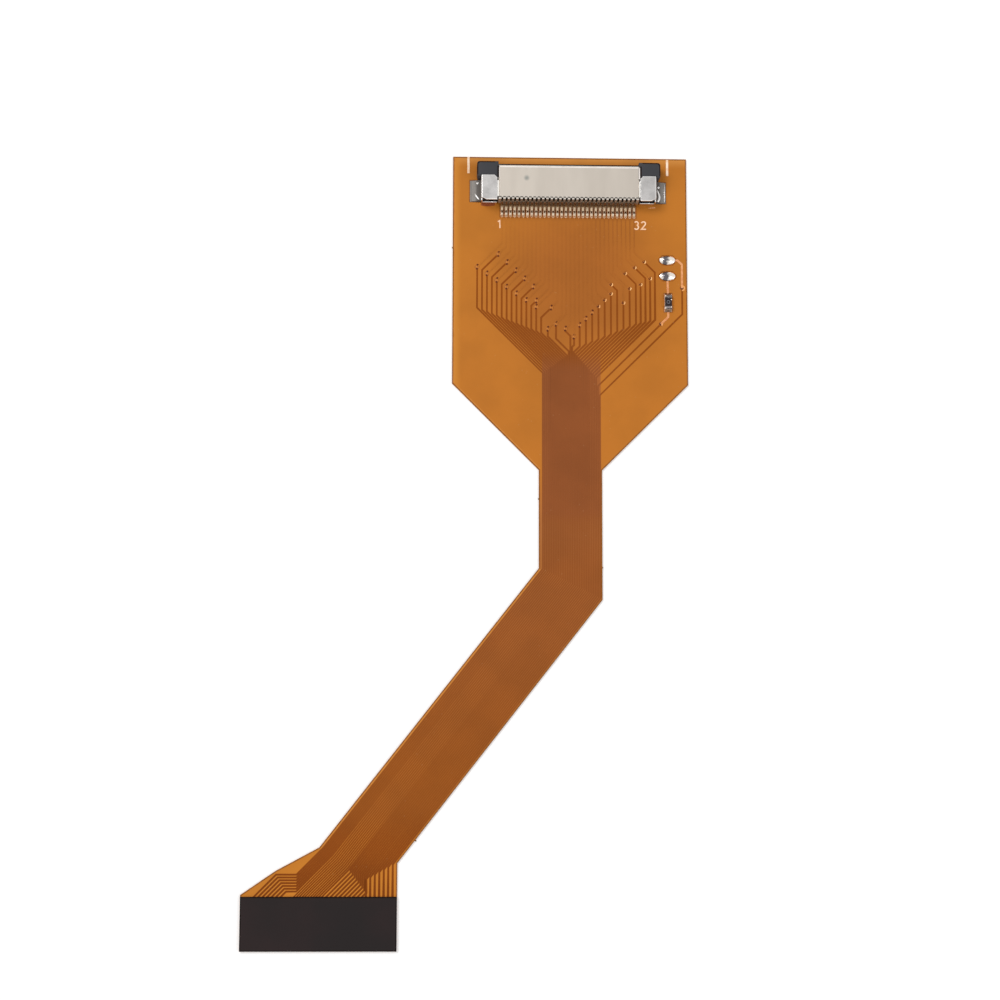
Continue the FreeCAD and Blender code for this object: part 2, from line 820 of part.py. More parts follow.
def make_front_cover_film():
    """Press the front cover film over the copper, so that every line stands out in it."""
    body = film("front_sheet", END_CELL, cell("pad_level"), cell("cover_thick"))
    windows = polygon(body, "front_windows", window_corners(), lift=cell("top_level"))
    pocket(body, "front_openings", windows, cell("cover_thick"))
    far_top = TOP + size("far_print")
    near_top = TOP + size("near_print")
    sunk = TOP - size("cover_thick") / 2
    far = [ribbon(line_route(line), size("line_width"), sunk, far_top) for line in range(LINES)]
    stiffener_edge = TAIL_END + size("stiffener_length")
    covered = plate(TAIL_LEFT, TAIL_END, -size("tail_inset"), stiffener_edge, 0, far_top)
    far_lines = [line.cut(covered) for line in far]
    near = []
    near_sunk = TOP - size("cover_thick") / 4
    for line in range(PINS):
        route = pin_route(line)
        route[0] = (route[0][0], -size("pads_edge"))
        near.append(ribbon(route, size("line_width"), near_sunk, near_top))
    links = []
    for route in link_routes():
        print_line = ribbon(route, size("link_width"), near_sunk, near_top)
        for corners in [*jumper_boxes(), *chip_pads()]:
            left, low, right, high = corners
            rim = size("window_rim") / 2
            print_line = print_line.cut(plate(left - rim, low - rim, right + rim, high + rim, 0, near_top))
        links.extend(print_line.Solids)
    doc.recompute()
    cover = body.Shape.Solids[0].multiFuse(far_lines).multiFuse([*near, *links]).Solids[0]
    for line in range(LINES):
        check_ridge(cover, line, (TOP + far_top) / 2)
    keep(shaped("front_cover_film", cover), "front_cover_film")


def check_ridge(cover, line, level):
    """Stop if a back line doesn't stand out in the front cover on the neck and on the ribbon."""
    corners = line_route(line)
    foot = len(head_route(line))
    for start, end in ((foot, foot + 1), (foot + 1, foot + 2)):
        middle = [(a + b) / 2 for a, b in zip(corners[start], corners[end])]
        if not cover.isInside(Vector(*middle, level), size("far_print") / 4, False):
            sys.exit(f"line {line} has no ridge at {middle}")


def make_tail_stiffener():
    """Lay the black stiffener on the front of the tail."""
    body = new_body("tail_stiffener")
    corners = box_corners(LEFT_CELL, END_CELL, f"-{cell('tail_inset')}", STIFFENER_CELL)
    outline = polygon(body, "stiffener_outline", [corners], lift=cell("top_level"))
    pad(body, "stiffener_sheet", outline, cell("stiffener_thick"))
    keep(body, "tail_stiffener")


def across(half, side):
    """Give a place across the connector, measured from its middle."""
    return f"({side} * {cell(half)} - {cell('connector_shift')})"


def is_block_corner(edge):
    """Pick the upright edges at the outer corners of the end blocks."""
    half = abs(edge.CenterOfMass.x + size("connector_shift"))
    upright = edge.BoundBox.ZLength > size("housing_high")
    return upright and abs(half - size("block_half")) < size("slot_play")


def make_housing():
    """Mould the connector's housing, with its mouth, tongue, ends and contact slots."""
    body = new_body("connector_housing")
    top = cell("top_level")
    middle = box_corners(across("housing_half", "-1"), f"-{cell('housing_rear')}",
                         across("housing_half", "1"), f"-{cell('housing_front')}")
    pad(body, "housing_middle", polygon(body, "middle_outline", [middle], lift=top), cell("housing_high"))
    ends = []
    cheeks = []
    for side in ("-1", "1"):
        ends.append((
            (across("housing_half", side), f"-{cell('block_front')}"),
            (across("block_half", side), f"-{cell('block_front')}"),
            (across("block_half", side), f"-{cell('block_rear')}"),
            (across("block_inner", side), f"-{cell('block_rear')}"),
            (across("block_inner", side), f"-{cell('block_step')}"),
            (across("housing_half", side), f"-{cell('block_step')}"),
        ))
        cheeks.append(box_corners(across("housing_half", side), f"-{cell('cheek_rear')}",
                                  across("cheek_half", side), f"-{cell('block_step')}"))
    blocks = pad(body, "end_blocks", polygon(body, "block_outline", ends, lift=top), cell("end_high"))
    soften(body, "block_corners", blocks, "Fillet", cell("block_round"), is_block_corner)
    pad(body, "cheeks", polygon(body, "cheek_outline", cheeks, lift=top), cell("end_high"))
    mouth = box_corners(across("mouth_half", "-1"), cell("mouth_level"), across("mouth_half", "1"),
                        f"{cell('mouth_level')} + {cell('mouth_high')}")
    mouth_sketch = polygon(body, "mouth_outline", [mouth], "XZ_Plane", cell("mouth_back"))
    pocket(body, "mouth", mouth_sketch, cell("mouth_depth"))
    tongue_top = f"{top} + {cell('contact_level')} - {cell('contact_thick')} / 2"
    tongue = box_corners(across("tongue_half", "-1"), f"{tongue_top} - {cell('tongue_thick')}",
                         across("tongue_half", "1"), tongue_top)
    tongue_sketch = polygon(body, "tongue_outline", [tongue], "XZ_Plane", cell("tongue_front"))
    pad(body, "tongue", tongue_sketch, f"{cell('mouth_back')} - {cell('tongue_front')}")
    half_slot = f"({cell('contact_width')} / 2 + {cell('slot_play')})"
    slot = box_corners(f"{PIN_START_CELL} - {half_slot}", tongue_top, f"{PIN_START_CELL} + {half_slot}",
                       f"{tongue_top} + {cell('slot_high')}")
    slot_sketch = polygon(body, "slot_outline", [slot], "XZ_Plane", cell("housing_rear"))
    slot_cut = pocket(body, "contact_slot", slot_sketch, f"{cell('housing_rear')} - {cell('mouth_back')}")
    notch = box_corners(f"{PIN_START_CELL} - {half_slot}", f"-{cell('housing_rear')}",
                        f"{PIN_START_CELL} + {half_slot}", f"-{cell('notch_front')}")
    notch_sketch = polygon(body, "notch_outline", [notch], lift=cell("housing_level"))
    notch_cut = pocket(body, "rear_notch", notch_sketch, f"{cell('housing_level')} - ({tongue_top})")
    repeat(body, "slot_row", [slot_cut, notch_cut], PIN_SPAN_CELL, cell("pin_count"))
    keep(body, "connector_housing")


def is_cover_rim(edge):
    """Pick the upper front and side edges of the cover plate."""
    at_top = abs(edge.CenterOfMass.z - size("housing_level") - size("metal_thick")) < size("slot_play")
    return at_top and edge.CenterOfMass.y > size("slot_play") - size("shell_rear")


def make_shell():
    """Stamp the cover plate with the comb along its rear edge."""
    body = new_body("connector_shell")
    lift = cell("housing_level")
    thick = cell("metal_thick")
    top = box_corners(across("shell_half", "-1"), f"-{cell('shell_rear')}", across("shell_half", "1"),
                      f"-{cell('shell_front')}")
    cover = pad(body, "cover_plate", polygon(body, "plate_outline", [top], lift=lift), thick)
    soften(body, "cover_rims", cover, "Chamfer", cell("shell_round"), is_cover_rim)
    half_tooth = f"{cell('comb_width')} / 2"
    half_pitch = f"{cell('pin_pitch')} / 2"
    start = f"({PIN_START_CELL} + {half_pitch})"
    tooth = box_corners(f"{start} - {half_tooth}", f"-{cell('housing_rear')}",
                        f"{start} + {half_tooth}", f"-{cell('shell_rear')}")
    first = pad(body, "tooth", polygon(body, "tooth_outline", [tooth], lift=lift), thick)
    repeat(body, "comb", [first], f"{PIN_SPAN_CELL} - {cell('pin_pitch')}", f"{cell('pin_count')} - 1")
    doc.recompute()
    lips = [
        box_corners(across("shell_half", "-1"), f"-{cell('housing_rear')}",
                    f"{PIN_START_CELL} - {half_pitch} + {half_tooth}", f"-{cell('shell_rear')}"),
        box_corners(f"{PIN_START_CELL} + {PIN_SPAN_CELL} + {half_pitch} - {half_tooth}",
                    f"-{cell('housing_rear')}", across("shell_half", "1"), f"-{cell('shell_rear')}"),
    ]
    pad(body, "end_lips", polygon(body, "lip_outline", lips, lift=lift), thick)
    strips = [
        box_corners(across("strip_inner", side), f"-{cell('shell_rear')}", across("strip_outer", side),
                    f"-{cell('block_step')}")
        for side in ("-1", "1")
    ]
    strip_high = f"{lift} + {thick} - {cell('end_level')}"
    pad(body, "side_strips", polygon(body, "strip_outline", strips, lift=cell("end_level")), strip_high)
    keep(body, "connector_shell")


def make_contacts():
    """Bend the 32 contacts: blade in the mouth, leg down behind the housing, foot on the pad."""
    body = new_body("connector_contacts")
    blade_low = f"{cell('top_level')} + {cell('contact_level')} - {cell('contact_thick')} / 2"
    blade_high = f"{cell('top_level')} + {cell('contact_level')} + {cell('contact_thick')} / 2"
    foot_low = cell("foot_level")
    foot_high = f"{foot_low} + {cell('contact_thick')}"
    profile = (
        (f"-{cell('contact_tip')}", blade_low),
        (f"-{cell('contact_knee')} + {cell('leg_inset')}", blade_low),
        (f"-{cell('contact_heel')} + {cell('leg_inset')}", foot_low),
        (f"-{cell('contact_toe')}", foot_low),
        (f"-{cell('contact_toe')}", foot_high),
        (f"-{cell('contact_heel')}", foot_high),
        (f"-{cell('contact_knee')}", blade_high),
        (f"-{cell('contact_tip')}", blade_high),
    )
    sketch = polygon(body, "contact_profile", [profile], "YZ_Plane",
                     f"{PIN_START_CELL} - {cell('contact_width')} / 2")
    first = pad(body, "contact", sketch, cell("contact_width"))
    repeat(body, "contact_row", [first], PIN_SPAN_CELL, cell("pin_count"))
    keep(body, "connector_contacts")


def make_contact_solder():
    """Fill the joint under and in front of each contact's foot."""
    body = new_body("contact_solder")
    foot_low = cell("foot_level")
    profile = (
        (f"-{cell('pad_drop')}", cell("pad_level")),
        (f"-{cell('pad_foot')}", cell("pad_level")),
        (f"-{cell('contact_toe')}", f"{foot_low} + {cell('toe_rise')}"),
        (f"-{cell('contact_toe')}", foot_low),
        (f"-{cell('contact_heel')} + {cell('leg_inset')}", foot_low),
    )
    sketch = polygon(body, "solder_profile", [profile], "YZ_Plane",
                     f"{PIN_START_CELL} - {cell('solder_width')} / 2")
    first = pad(body, "joint", sketch, cell("solder_width"))
    repeat(body, "joint_row", [first], PIN_SPAN_CELL, cell("pin_count"))
    keep(body, "contact_solder")


def make_bracket(name, side):
    """Fold one hold-down bracket over the housing's end, behind it and out onto its pad."""
    body = new_body(name)
    inner = across("bracket_inner", side)
    wall = across("cheek_half", side)
    outer = across("bracket_outer", side)
    reach = across("foot_reach", side)
    roof = cell("end_level")
    roof_top = f"{roof} + {cell('metal_thick')}"
    foot_low = cell("foot_level")
    wall_low = f"{cell('top_level')} + {cell('wall_lift')}"
    profile = (
        (inner, roof),
        (wall, roof),
        (wall, wall_low),
        (outer, wall_low),
        (outer, f"{roof_top} - {cell('bracket_round')}"),
        (f"{outer} - {side} * {cell('bracket_round')}", roof_top),
        (inner, roof_top),
    )
    sketch = polygon(body, f"{name}_profile", [profile], "XZ_Plane", cell("bracket_front"))
    pad(body, f"{name}_fold", sketch, f"{cell('bracket_rear')} - {cell('bracket_front')}")
    foot = box_corners(wall, f"-{cell('foot_rear')}", reach, f"-{cell('foot_front')}")
    foot_sketch = polygon(body, f"{name}_foot_outline", [foot], lift=foot_low)
    pad(body, f"{name}_foot", foot_sketch, cell("metal_thick"))
    cut = cell("corner_cut")
    front = f"-{cell('bracket_front')}"
    rear = f"-{cell('bracket_rear')}"
    corners = [
        ((outer, rear), (outer, f"{rear} + {cut}"), (f"{outer} - {side} * 2 * {cut}", rear)),
        ((inner, front), (inner, f"{front} - {cut}"), (f"{inner} + {side} * {cut}", front)),
    ]
    corner_sketch = polygon(body, f"{name}_corner_outline", corners, lift=roof_top)
    pocket(body, f"{name}_corner_cuts", corner_sketch, f"{cell('metal_thick')} + {cut}")
    tab = box_corners(inner, wall_low, outer, f"{wall_low} + {cell('rear_tab_high')}")
    tab_sketch = polygon(body, f"{name}_tab_outline", [tab], "XZ_Plane", cell("tab_front"))
    pad(body, f"{name}_rear_tab", tab_sketch, cell("metal_thick"))
    keep(body, name)


def bracket_point(x, z, side):
    """Give a point of a bracket's solder, measured from the connector's middle."""
    return Vector(side * x - size("connector_shift"), -size("foot_front"), z)


def make_bracket_solder(name, side):
    """Fill the joint under one bracket's foot and the hollow fillet above it."""
    cheek = size("cheek_half")
    wall = size("bracket_outer")
    reach = size("foot_reach")
    edge = size("bracket_pad_reach")
    foot_top = FOOT + size("metal_thick")
    crest = foot_top + size("bracket_solder_high")
    hollow = size("solder_hollow")
    middle = (wall + (reach - wall) * hollow, foot_top + (crest - foot_top) * hollow)
    under = [(cheek, FRONT_COVER), (edge, FRONT_COVER), (reach, foot_top), (reach, FOOT), (cheek, FOOT)]
    seat = Part.makePolygon([bracket_point(x, z, side) for x, z in [*under, under[0]]])
    corner = bracket_point(wall, foot_top, side)
    toe = bracket_point(reach, foot_top, side)
    top = bracket_point(wall, crest, side)
    arc = Part.Arc(toe, bracket_point(*middle, side), top).toShape()
    fillet = Part.Wire([Part.makeLine(corner, toe), arc, Part.makeLine(top, corner)])
    length = Vector(0, size("foot_front") - size("foot_rear"), 0)
    solids = [Part.Face(wire).extrude(length) for wire in (seat, fillet)]
    keep(shaped(name, Part.makeCompound(solids)), name)


def dome_point(level, side):
    """Give a point on the jumper's dome, by its level and its place around."""
    tilt = level * math.pi / 2 / count("dome_levels")
    turn = side * 2 * math.pi / count("dome_sides")
    spread = math.cos(tilt)
    x = size("jumper_long") / 2 * spread * math.cos(turn)
    y = size("jumper_short") / 2 * spread * math.sin(turn)
    return Vector(x, y, size("jumper_rise") * math.sin(tilt))


def make_dome():
    """Make a low dome of flat faces, longer than it is wide."""
    sides = range(count("dome_sides"))
    last = count("dome_levels") - 1
    apex = Vector(0, 0, size("jumper_rise"))
    rings = [[dome_point(level, side) for side in sides] for level in range(last + 1)]
    loops = [rings[0]]
    for side in sides:
        after = (side + 1) % len(sides)
        for low, high in zip(rings, rings[1:]):
            loops.append([low[side], low[after], high[after], high[side]])
        loops.append([rings[last][side], rings[last][after], apex])
    faces = [Part.Face(Part.makePolygon([*loop, loop[0]])) for loop in loops]
    return Part.Solid(Part.makeShell(faces))


def make_jumper(name, place):
    """Heap solder over one jumper pad."""
    drop = f"(-{cell('jumper_drop')} - {place} * {cell('jumper_step')})"
    keep(shaped(name, make_dome()), name, cell("jumper_x"), drop, cell("pad_level"))


def make_block(name, middle_x, middle_y, wide, long, low, high):
    """Place a plain block by the middle of its base."""
    block = doc.addObject("Part::Box", name)
    block.setExpression("Length", wide)
    block.setExpression("Width", long)
    block.setExpression("Height", high)
    keep(block, name, f"{middle_x} - ({wide}) / 2", f"{middle_y} - ({long}) / 2", low)


def make_chip():
    """Build the chip resistor: ceramic, coat, two end caps and their solder."""
    seat = f"({cell('foot_level')} + {cell('cap_thick')})"
    inner_long = f"({cell('chip_long')} - 2 * {cell('cap_thick')})"
    drop = f"-{cell('chip_drop')}"
    make_block("chip_ceramic", cell("chip_x"), drop, cell("chip_wide"), inner_long, seat, cell("chip_high"))
    coat_long = f"({cell('chip_long')} - 2 * {cell('cap_long')})"
    make_block("chip_coat", cell("chip_x"), drop, cell("chip_wide"), coat_long,
               f"{seat} + {cell('chip_high')}", cell("coat_thick"))
    for name, side in (("chip_upper_cap", "1"), ("chip_lower_cap", "-1")):
        make_chip_cap(name, side, seat)
    make_chip_solder()


def make_chip_cap(name, side, seat):
    """Fold one metal cap over an end of the chip."""
    body = new_body(name)
    outside = f"(-{cell('chip_drop')} + {side} * {cell('chip_long')} / 2)"
    inside = f"({outside} - {side} * {cell('cap_thick')})"
    lip = f"({outside} - {side} * {cell('cap_long')})"
    top = f"({seat} + {cell('chip_high')})"
    profile = (
        (lip, cell("foot_level")),
        (outside, cell("foot_level")),
        (outside, f"{top} + {cell('cap_thick')}"),
        (lip, f"{top} + {cell('cap_thick')}"),
        (lip, top),
        (inside, top),
        (inside, seat),
        (lip, seat),
    )
    sketch = polygon(body, f"{name}_profile", [profile], "YZ_Plane",
                     f"{cell('chip_x')} - {cell('chip_wide')} / 2")
    pad(body, f"{name}_fold", sketch, cell("chip_wide"))
    keep(body, name)


def make_chip_solder():
    """Fill the two joints between the chip's caps and their pads."""
    body = new_body("chip_solder")
    profiles = []
    for side in ("1", "-1"):
        outside = f"(-{cell('chip_drop')} + {side} * {cell('chip_long')} / 2)"
        lip = f"({outside} - {side} * {cell('cap_long')})"
        edge = f"({outside} + {side} * ({cell('chip_pad_long')} * 0.75 - {cell('cap_long')} / 2))"
        profiles.append((
            (lip, cell('pad_level')),
            (edge, cell('pad_level')),
            (outside, f"{cell('foot_level')} + {cell('chip_solder_high')}"),
            (outside, cell('foot_level')),
            (lip, cell('foot_level')),
        ))
    sketch = polygon(body, "chip_solder_profile", profiles, "YZ_Plane",
                     f"{cell('chip_x')} - {cell('chip_wide')} / 2")
    pad(body, "chip_joints", sketch, cell("chip_wide"))
    keep(body, "chip_solder")


def check_model():
    """Stop if any feature failed, cut nothing or left a shape that isn't valid."""
    for feature in doc.Objects:
        if "Invalid" in feature.State or "Error" in feature.State:
            sys.exit(f"{feature.Label} failed: {feature.State}")
        if feature.TypeId == "PartDesign::Pocket":
            if feature.Shape.Volume >= feature.BaseFeature.Shape.Volume:
                sys.exit(f"{feature.Label} cuts nothing")
    for feature in sub_parts:
        if feature.Shape.isNull() or not feature.Shape.isValid():
            sys.exit(f"{feature.Label} has no valid shape")


def write_parts():
    """Write every sub-part to its own file."""
    os.makedirs("parts", exist_ok=True)
    for feature in sub_parts:
        feature.Shape.exportStep(f"parts/{feature.Label}.step")
        box = feature.Shape.BoundBox
        print(f"{feature.Label}: {len(feature.Shape.Solids)} solids, {len(feature.Shape.Faces)} faces,"
              f" x {box.XMin:.2f} to {box.XMax:.2f}, y {box.YMin:.2f} to {box.YMax:.2f},"
              f" z {box.ZMin:.3f} to {box.ZMax:.3f}")


make_back_cover_film()
make_signal_lines()
make_via_barrels()
make_base_film()
make_pin_lines()
make_link_lines()
make_bracket_pads()
make_front_cover_film()
make_tail_stiffener()
make_housing()
make_shell()
make_contacts()
make_contact_solder()
for bracket_side, side_name in (("-1", "left"), ("1", "right")):
    make_bracket(f"{side_name}_bracket", bracket_side)
    make_bracket_solder(f"{side_name}_bracket_solder", float(bracket_side))
make_jumper("upper_jumper_solder", "0")
make_jumper("lower_jumper_solder", "1")
make_chip()
doc.recompute()
check_model()
write_parts()
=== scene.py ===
"""Dresses the flexible circuit adapter: film, copper lines, connector, solder and stiffener.

The adapter lies flat on the floor with its head at +Y, its tail at -Y and its front face up.
Lengths in this file are in millimetres until a mesh is made, which is in metres.
"""

import logging
import math
from collections.abc import Callable, Sequence
from dataclasses import dataclass
from enum import Enum

import bpy
from mathutils import Euler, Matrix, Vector


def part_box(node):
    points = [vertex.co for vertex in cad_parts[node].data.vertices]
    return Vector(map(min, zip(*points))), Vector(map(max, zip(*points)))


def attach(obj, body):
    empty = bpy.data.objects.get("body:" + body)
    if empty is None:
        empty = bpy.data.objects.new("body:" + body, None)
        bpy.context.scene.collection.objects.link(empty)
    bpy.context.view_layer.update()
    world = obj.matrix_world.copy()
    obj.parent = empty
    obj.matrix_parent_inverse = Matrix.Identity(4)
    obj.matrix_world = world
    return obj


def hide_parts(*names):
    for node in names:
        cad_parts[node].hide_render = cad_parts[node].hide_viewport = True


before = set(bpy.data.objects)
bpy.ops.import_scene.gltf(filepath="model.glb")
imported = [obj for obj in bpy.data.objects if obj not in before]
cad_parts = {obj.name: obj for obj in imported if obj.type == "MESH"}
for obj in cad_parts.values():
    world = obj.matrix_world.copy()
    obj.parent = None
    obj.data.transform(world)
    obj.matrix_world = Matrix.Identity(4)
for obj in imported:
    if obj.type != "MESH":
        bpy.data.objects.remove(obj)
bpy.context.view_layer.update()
MM = 0.001
ROOT = "root"

# The film's front face, the cover plate's top and the connector's middle, in millimetres
FILM_TOP = 0.19
PLATE_TOP = 2.0
MIDDLE = 11.455

# The steepest rise of an upright wall's normal, and the least sum of normals that moves a point
UPRIGHT = 0.3
FAINT = 0.1

# The cosine of half a corner's turn below which its mitre grows no longer
BLUNT = 0.4

# Decimal places, in millimetres, by which two points of the CAD are told apart
DIGITS = 5

log = logging.getLogger("flex_adapter")

Point = tuple[float, float, float]
Spot = tuple[float, float]
Colour = tuple[int, int, int]
Bands = Sequence[tuple[float, Colour]]
MeshData = tuple[list[Point], list[tuple[int, ...]]]


def linear(colour: Colour) -> tuple[float, float, float, float]:
    """Turns a screen colour into the linear one that shaders take.

    Args:
        colour: Red, green and blue from 0 to 255, as seen on a screen.

    Returns:
        Linear red, green and blue from 0 to 1, with full alpha.
    """
    parts = []
    for part in colour:
        share = part / 255
        parts.append(share / 12.92 if share <= 0.04045 else ((share + 0.055) / 1.055) ** 2.4)
    return (parts[0], parts[1], parts[2], 1.0)


class NodeSheet:
    """A shader node tree with short calls to add and join nodes."""

    def __init__(self, tree: bpy.types.NodeTree) -> None:
        """Takes over an empty tree."""
        self.tree = tree

    def add(self, kind: str, **settings: object) -> bpy.types.Node:
        """Adds a node.

        Args:
            kind: The node's type, such as ShaderNodeMix.
            **settings: Attributes of the node, set in the order given.

        Returns:
            The new node.
        """
        node = self.tree.nodes.new(kind)
        for name, value in settings.items():
            setattr(node, name, value)
        return node

    def feed(self, socket: bpy.types.NodeSocket, value: object) -> None:
        """Joins a socket to another one, or sets it to a plain value.

        Args:
            socket: The input to feed.
            value: An output's socket, or the plain value.
        """
        if isinstance(value, bpy.types.NodeSocket):
            self.tree.links.new(value, socket)
        else:
            socket.default_value = value

    def math(self, operation: str, *values: object, clamp: bool = False) -> bpy.types.NodeSocket:
        """Adds a Math node.

        Args:
            operation: Blender's name for the sum, such as MULTIPLY_ADD.
            *values: Sockets or numbers for its inputs.
            clamp: True to keep the result between 0 and 1.

        Returns:
            The result's socket.
        """
        node = self.add("ShaderNodeMath", operation=operation, use_clamp=clamp)
        for socket, value in zip(node.inputs, values):
            self.feed(socket, value)
        return node.outputs[0]

    def blend(self, factor: object, first: object, second: object) -> bpy.types.NodeSocket:
        """Mixes two colours.

        Args:
            factor: How much of the second colour shows, from 0 to 1.
            first: The colour at 0, as a socket or as linear numbers.
            second: The colour at 1.

        Returns:
            The mixed colour's socket.
        """
        node = self.add("ShaderNodeMix", data_type="RGBA")
        self.feed(node.inputs[0], factor)
        self.feed(node.inputs[6], first)
        self.feed(node.inputs[7], second)
        return node.outputs[2]

    def ramp(self, value: object, low: float, high: float) -> bpy.types.NodeSocket:
        """Turns a value into a smooth mask.

        Args:
            value: The socket to read.
            low: The value at which the mask is 0.
            high: The value at which the mask is 1.

        Returns:
            The mask's socket.
        """
        node = self.add("ShaderNodeMapRange", interpolation_type="SMOOTHSTEP")
        self.feed(node.inputs[0], value)
        node.inputs[1].default_value = low
        node.inputs[2].default_value = high
        return node.outputs[0]

    def product(self, *masks: object) -> bpy.types.NodeSocket:
        """Multiplies masks.

        Args:
            *masks: Two or more sockets or numbers.

        Returns:
            The product's socket.
        """
        result = masks[0]
        for mask in masks[1:]:
            result = self.math("MULTIPLY", result, mask)
        return result

    def off(self, value: object, middle: float) -> bpy.types.NodeSocket:
        """Measures how far a value lies from a middle, either way."""
        return self.math("ABSOLUTE", self.math("SUBTRACT", value, middle))

    def distance(self, axes: bpy.types.NodeOutputs, spot: Spot) -> bpy.types.NodeSocket:
        """Measures how far a place lies from a spot, as seen from above.

        Args:
            axes: The place's axes, in millimetres.
            spot: The spot's X and Y.

        Returns:
            The distance's socket, in millimetres.
        """
        across = self.math("SUBTRACT", axes["X"], spot[0])
        along = self.math("SUBTRACT", axes["Y"], spot[1])
        squares = self.math("MULTIPLY_ADD", across, across, self.math("MULTIPLY", along, along))
        return self.math("SQRT", squares)

    def darker(self, colour: object, share: float) -> bpy.types.NodeSocket:
        """Darkens a colour.

        Args:
            colour: The colour's socket.
            share: How much of its brightness stays.

        Returns:
            The darker colour's socket.
        """
        node = self.add("ShaderNodeHueSaturation")
        node.inputs["Value"].default_value = share
        self.feed(node.inputs["Color"], colour)
        return node.outputs[0]

    def noise(self, where: object, scale: object, detail: float = 3.0) -> bpy.types.NodeSocket:
        """Adds a noise texture.

        Args:
            where: The place at which it is read.
            scale: How many of its swells lie in a metre.
            detail: How many finer layers it has.

        Returns:
            Its value's socket.
        """
        node = self.add("ShaderNodeTexNoise")
        node.inputs["Detail"].default_value = detail
        self.feed(node.inputs["Vector"], where)
        self.feed(node.inputs["Scale"], scale)
        return node.outputs[0]


class Effect(Enum):
    """Surface effects that several finishes share."""

    CLOUD = "cloud"
    GRAIN = "grain"
    EDGE_TONE = "edge_wear"
    DUST = "dust"


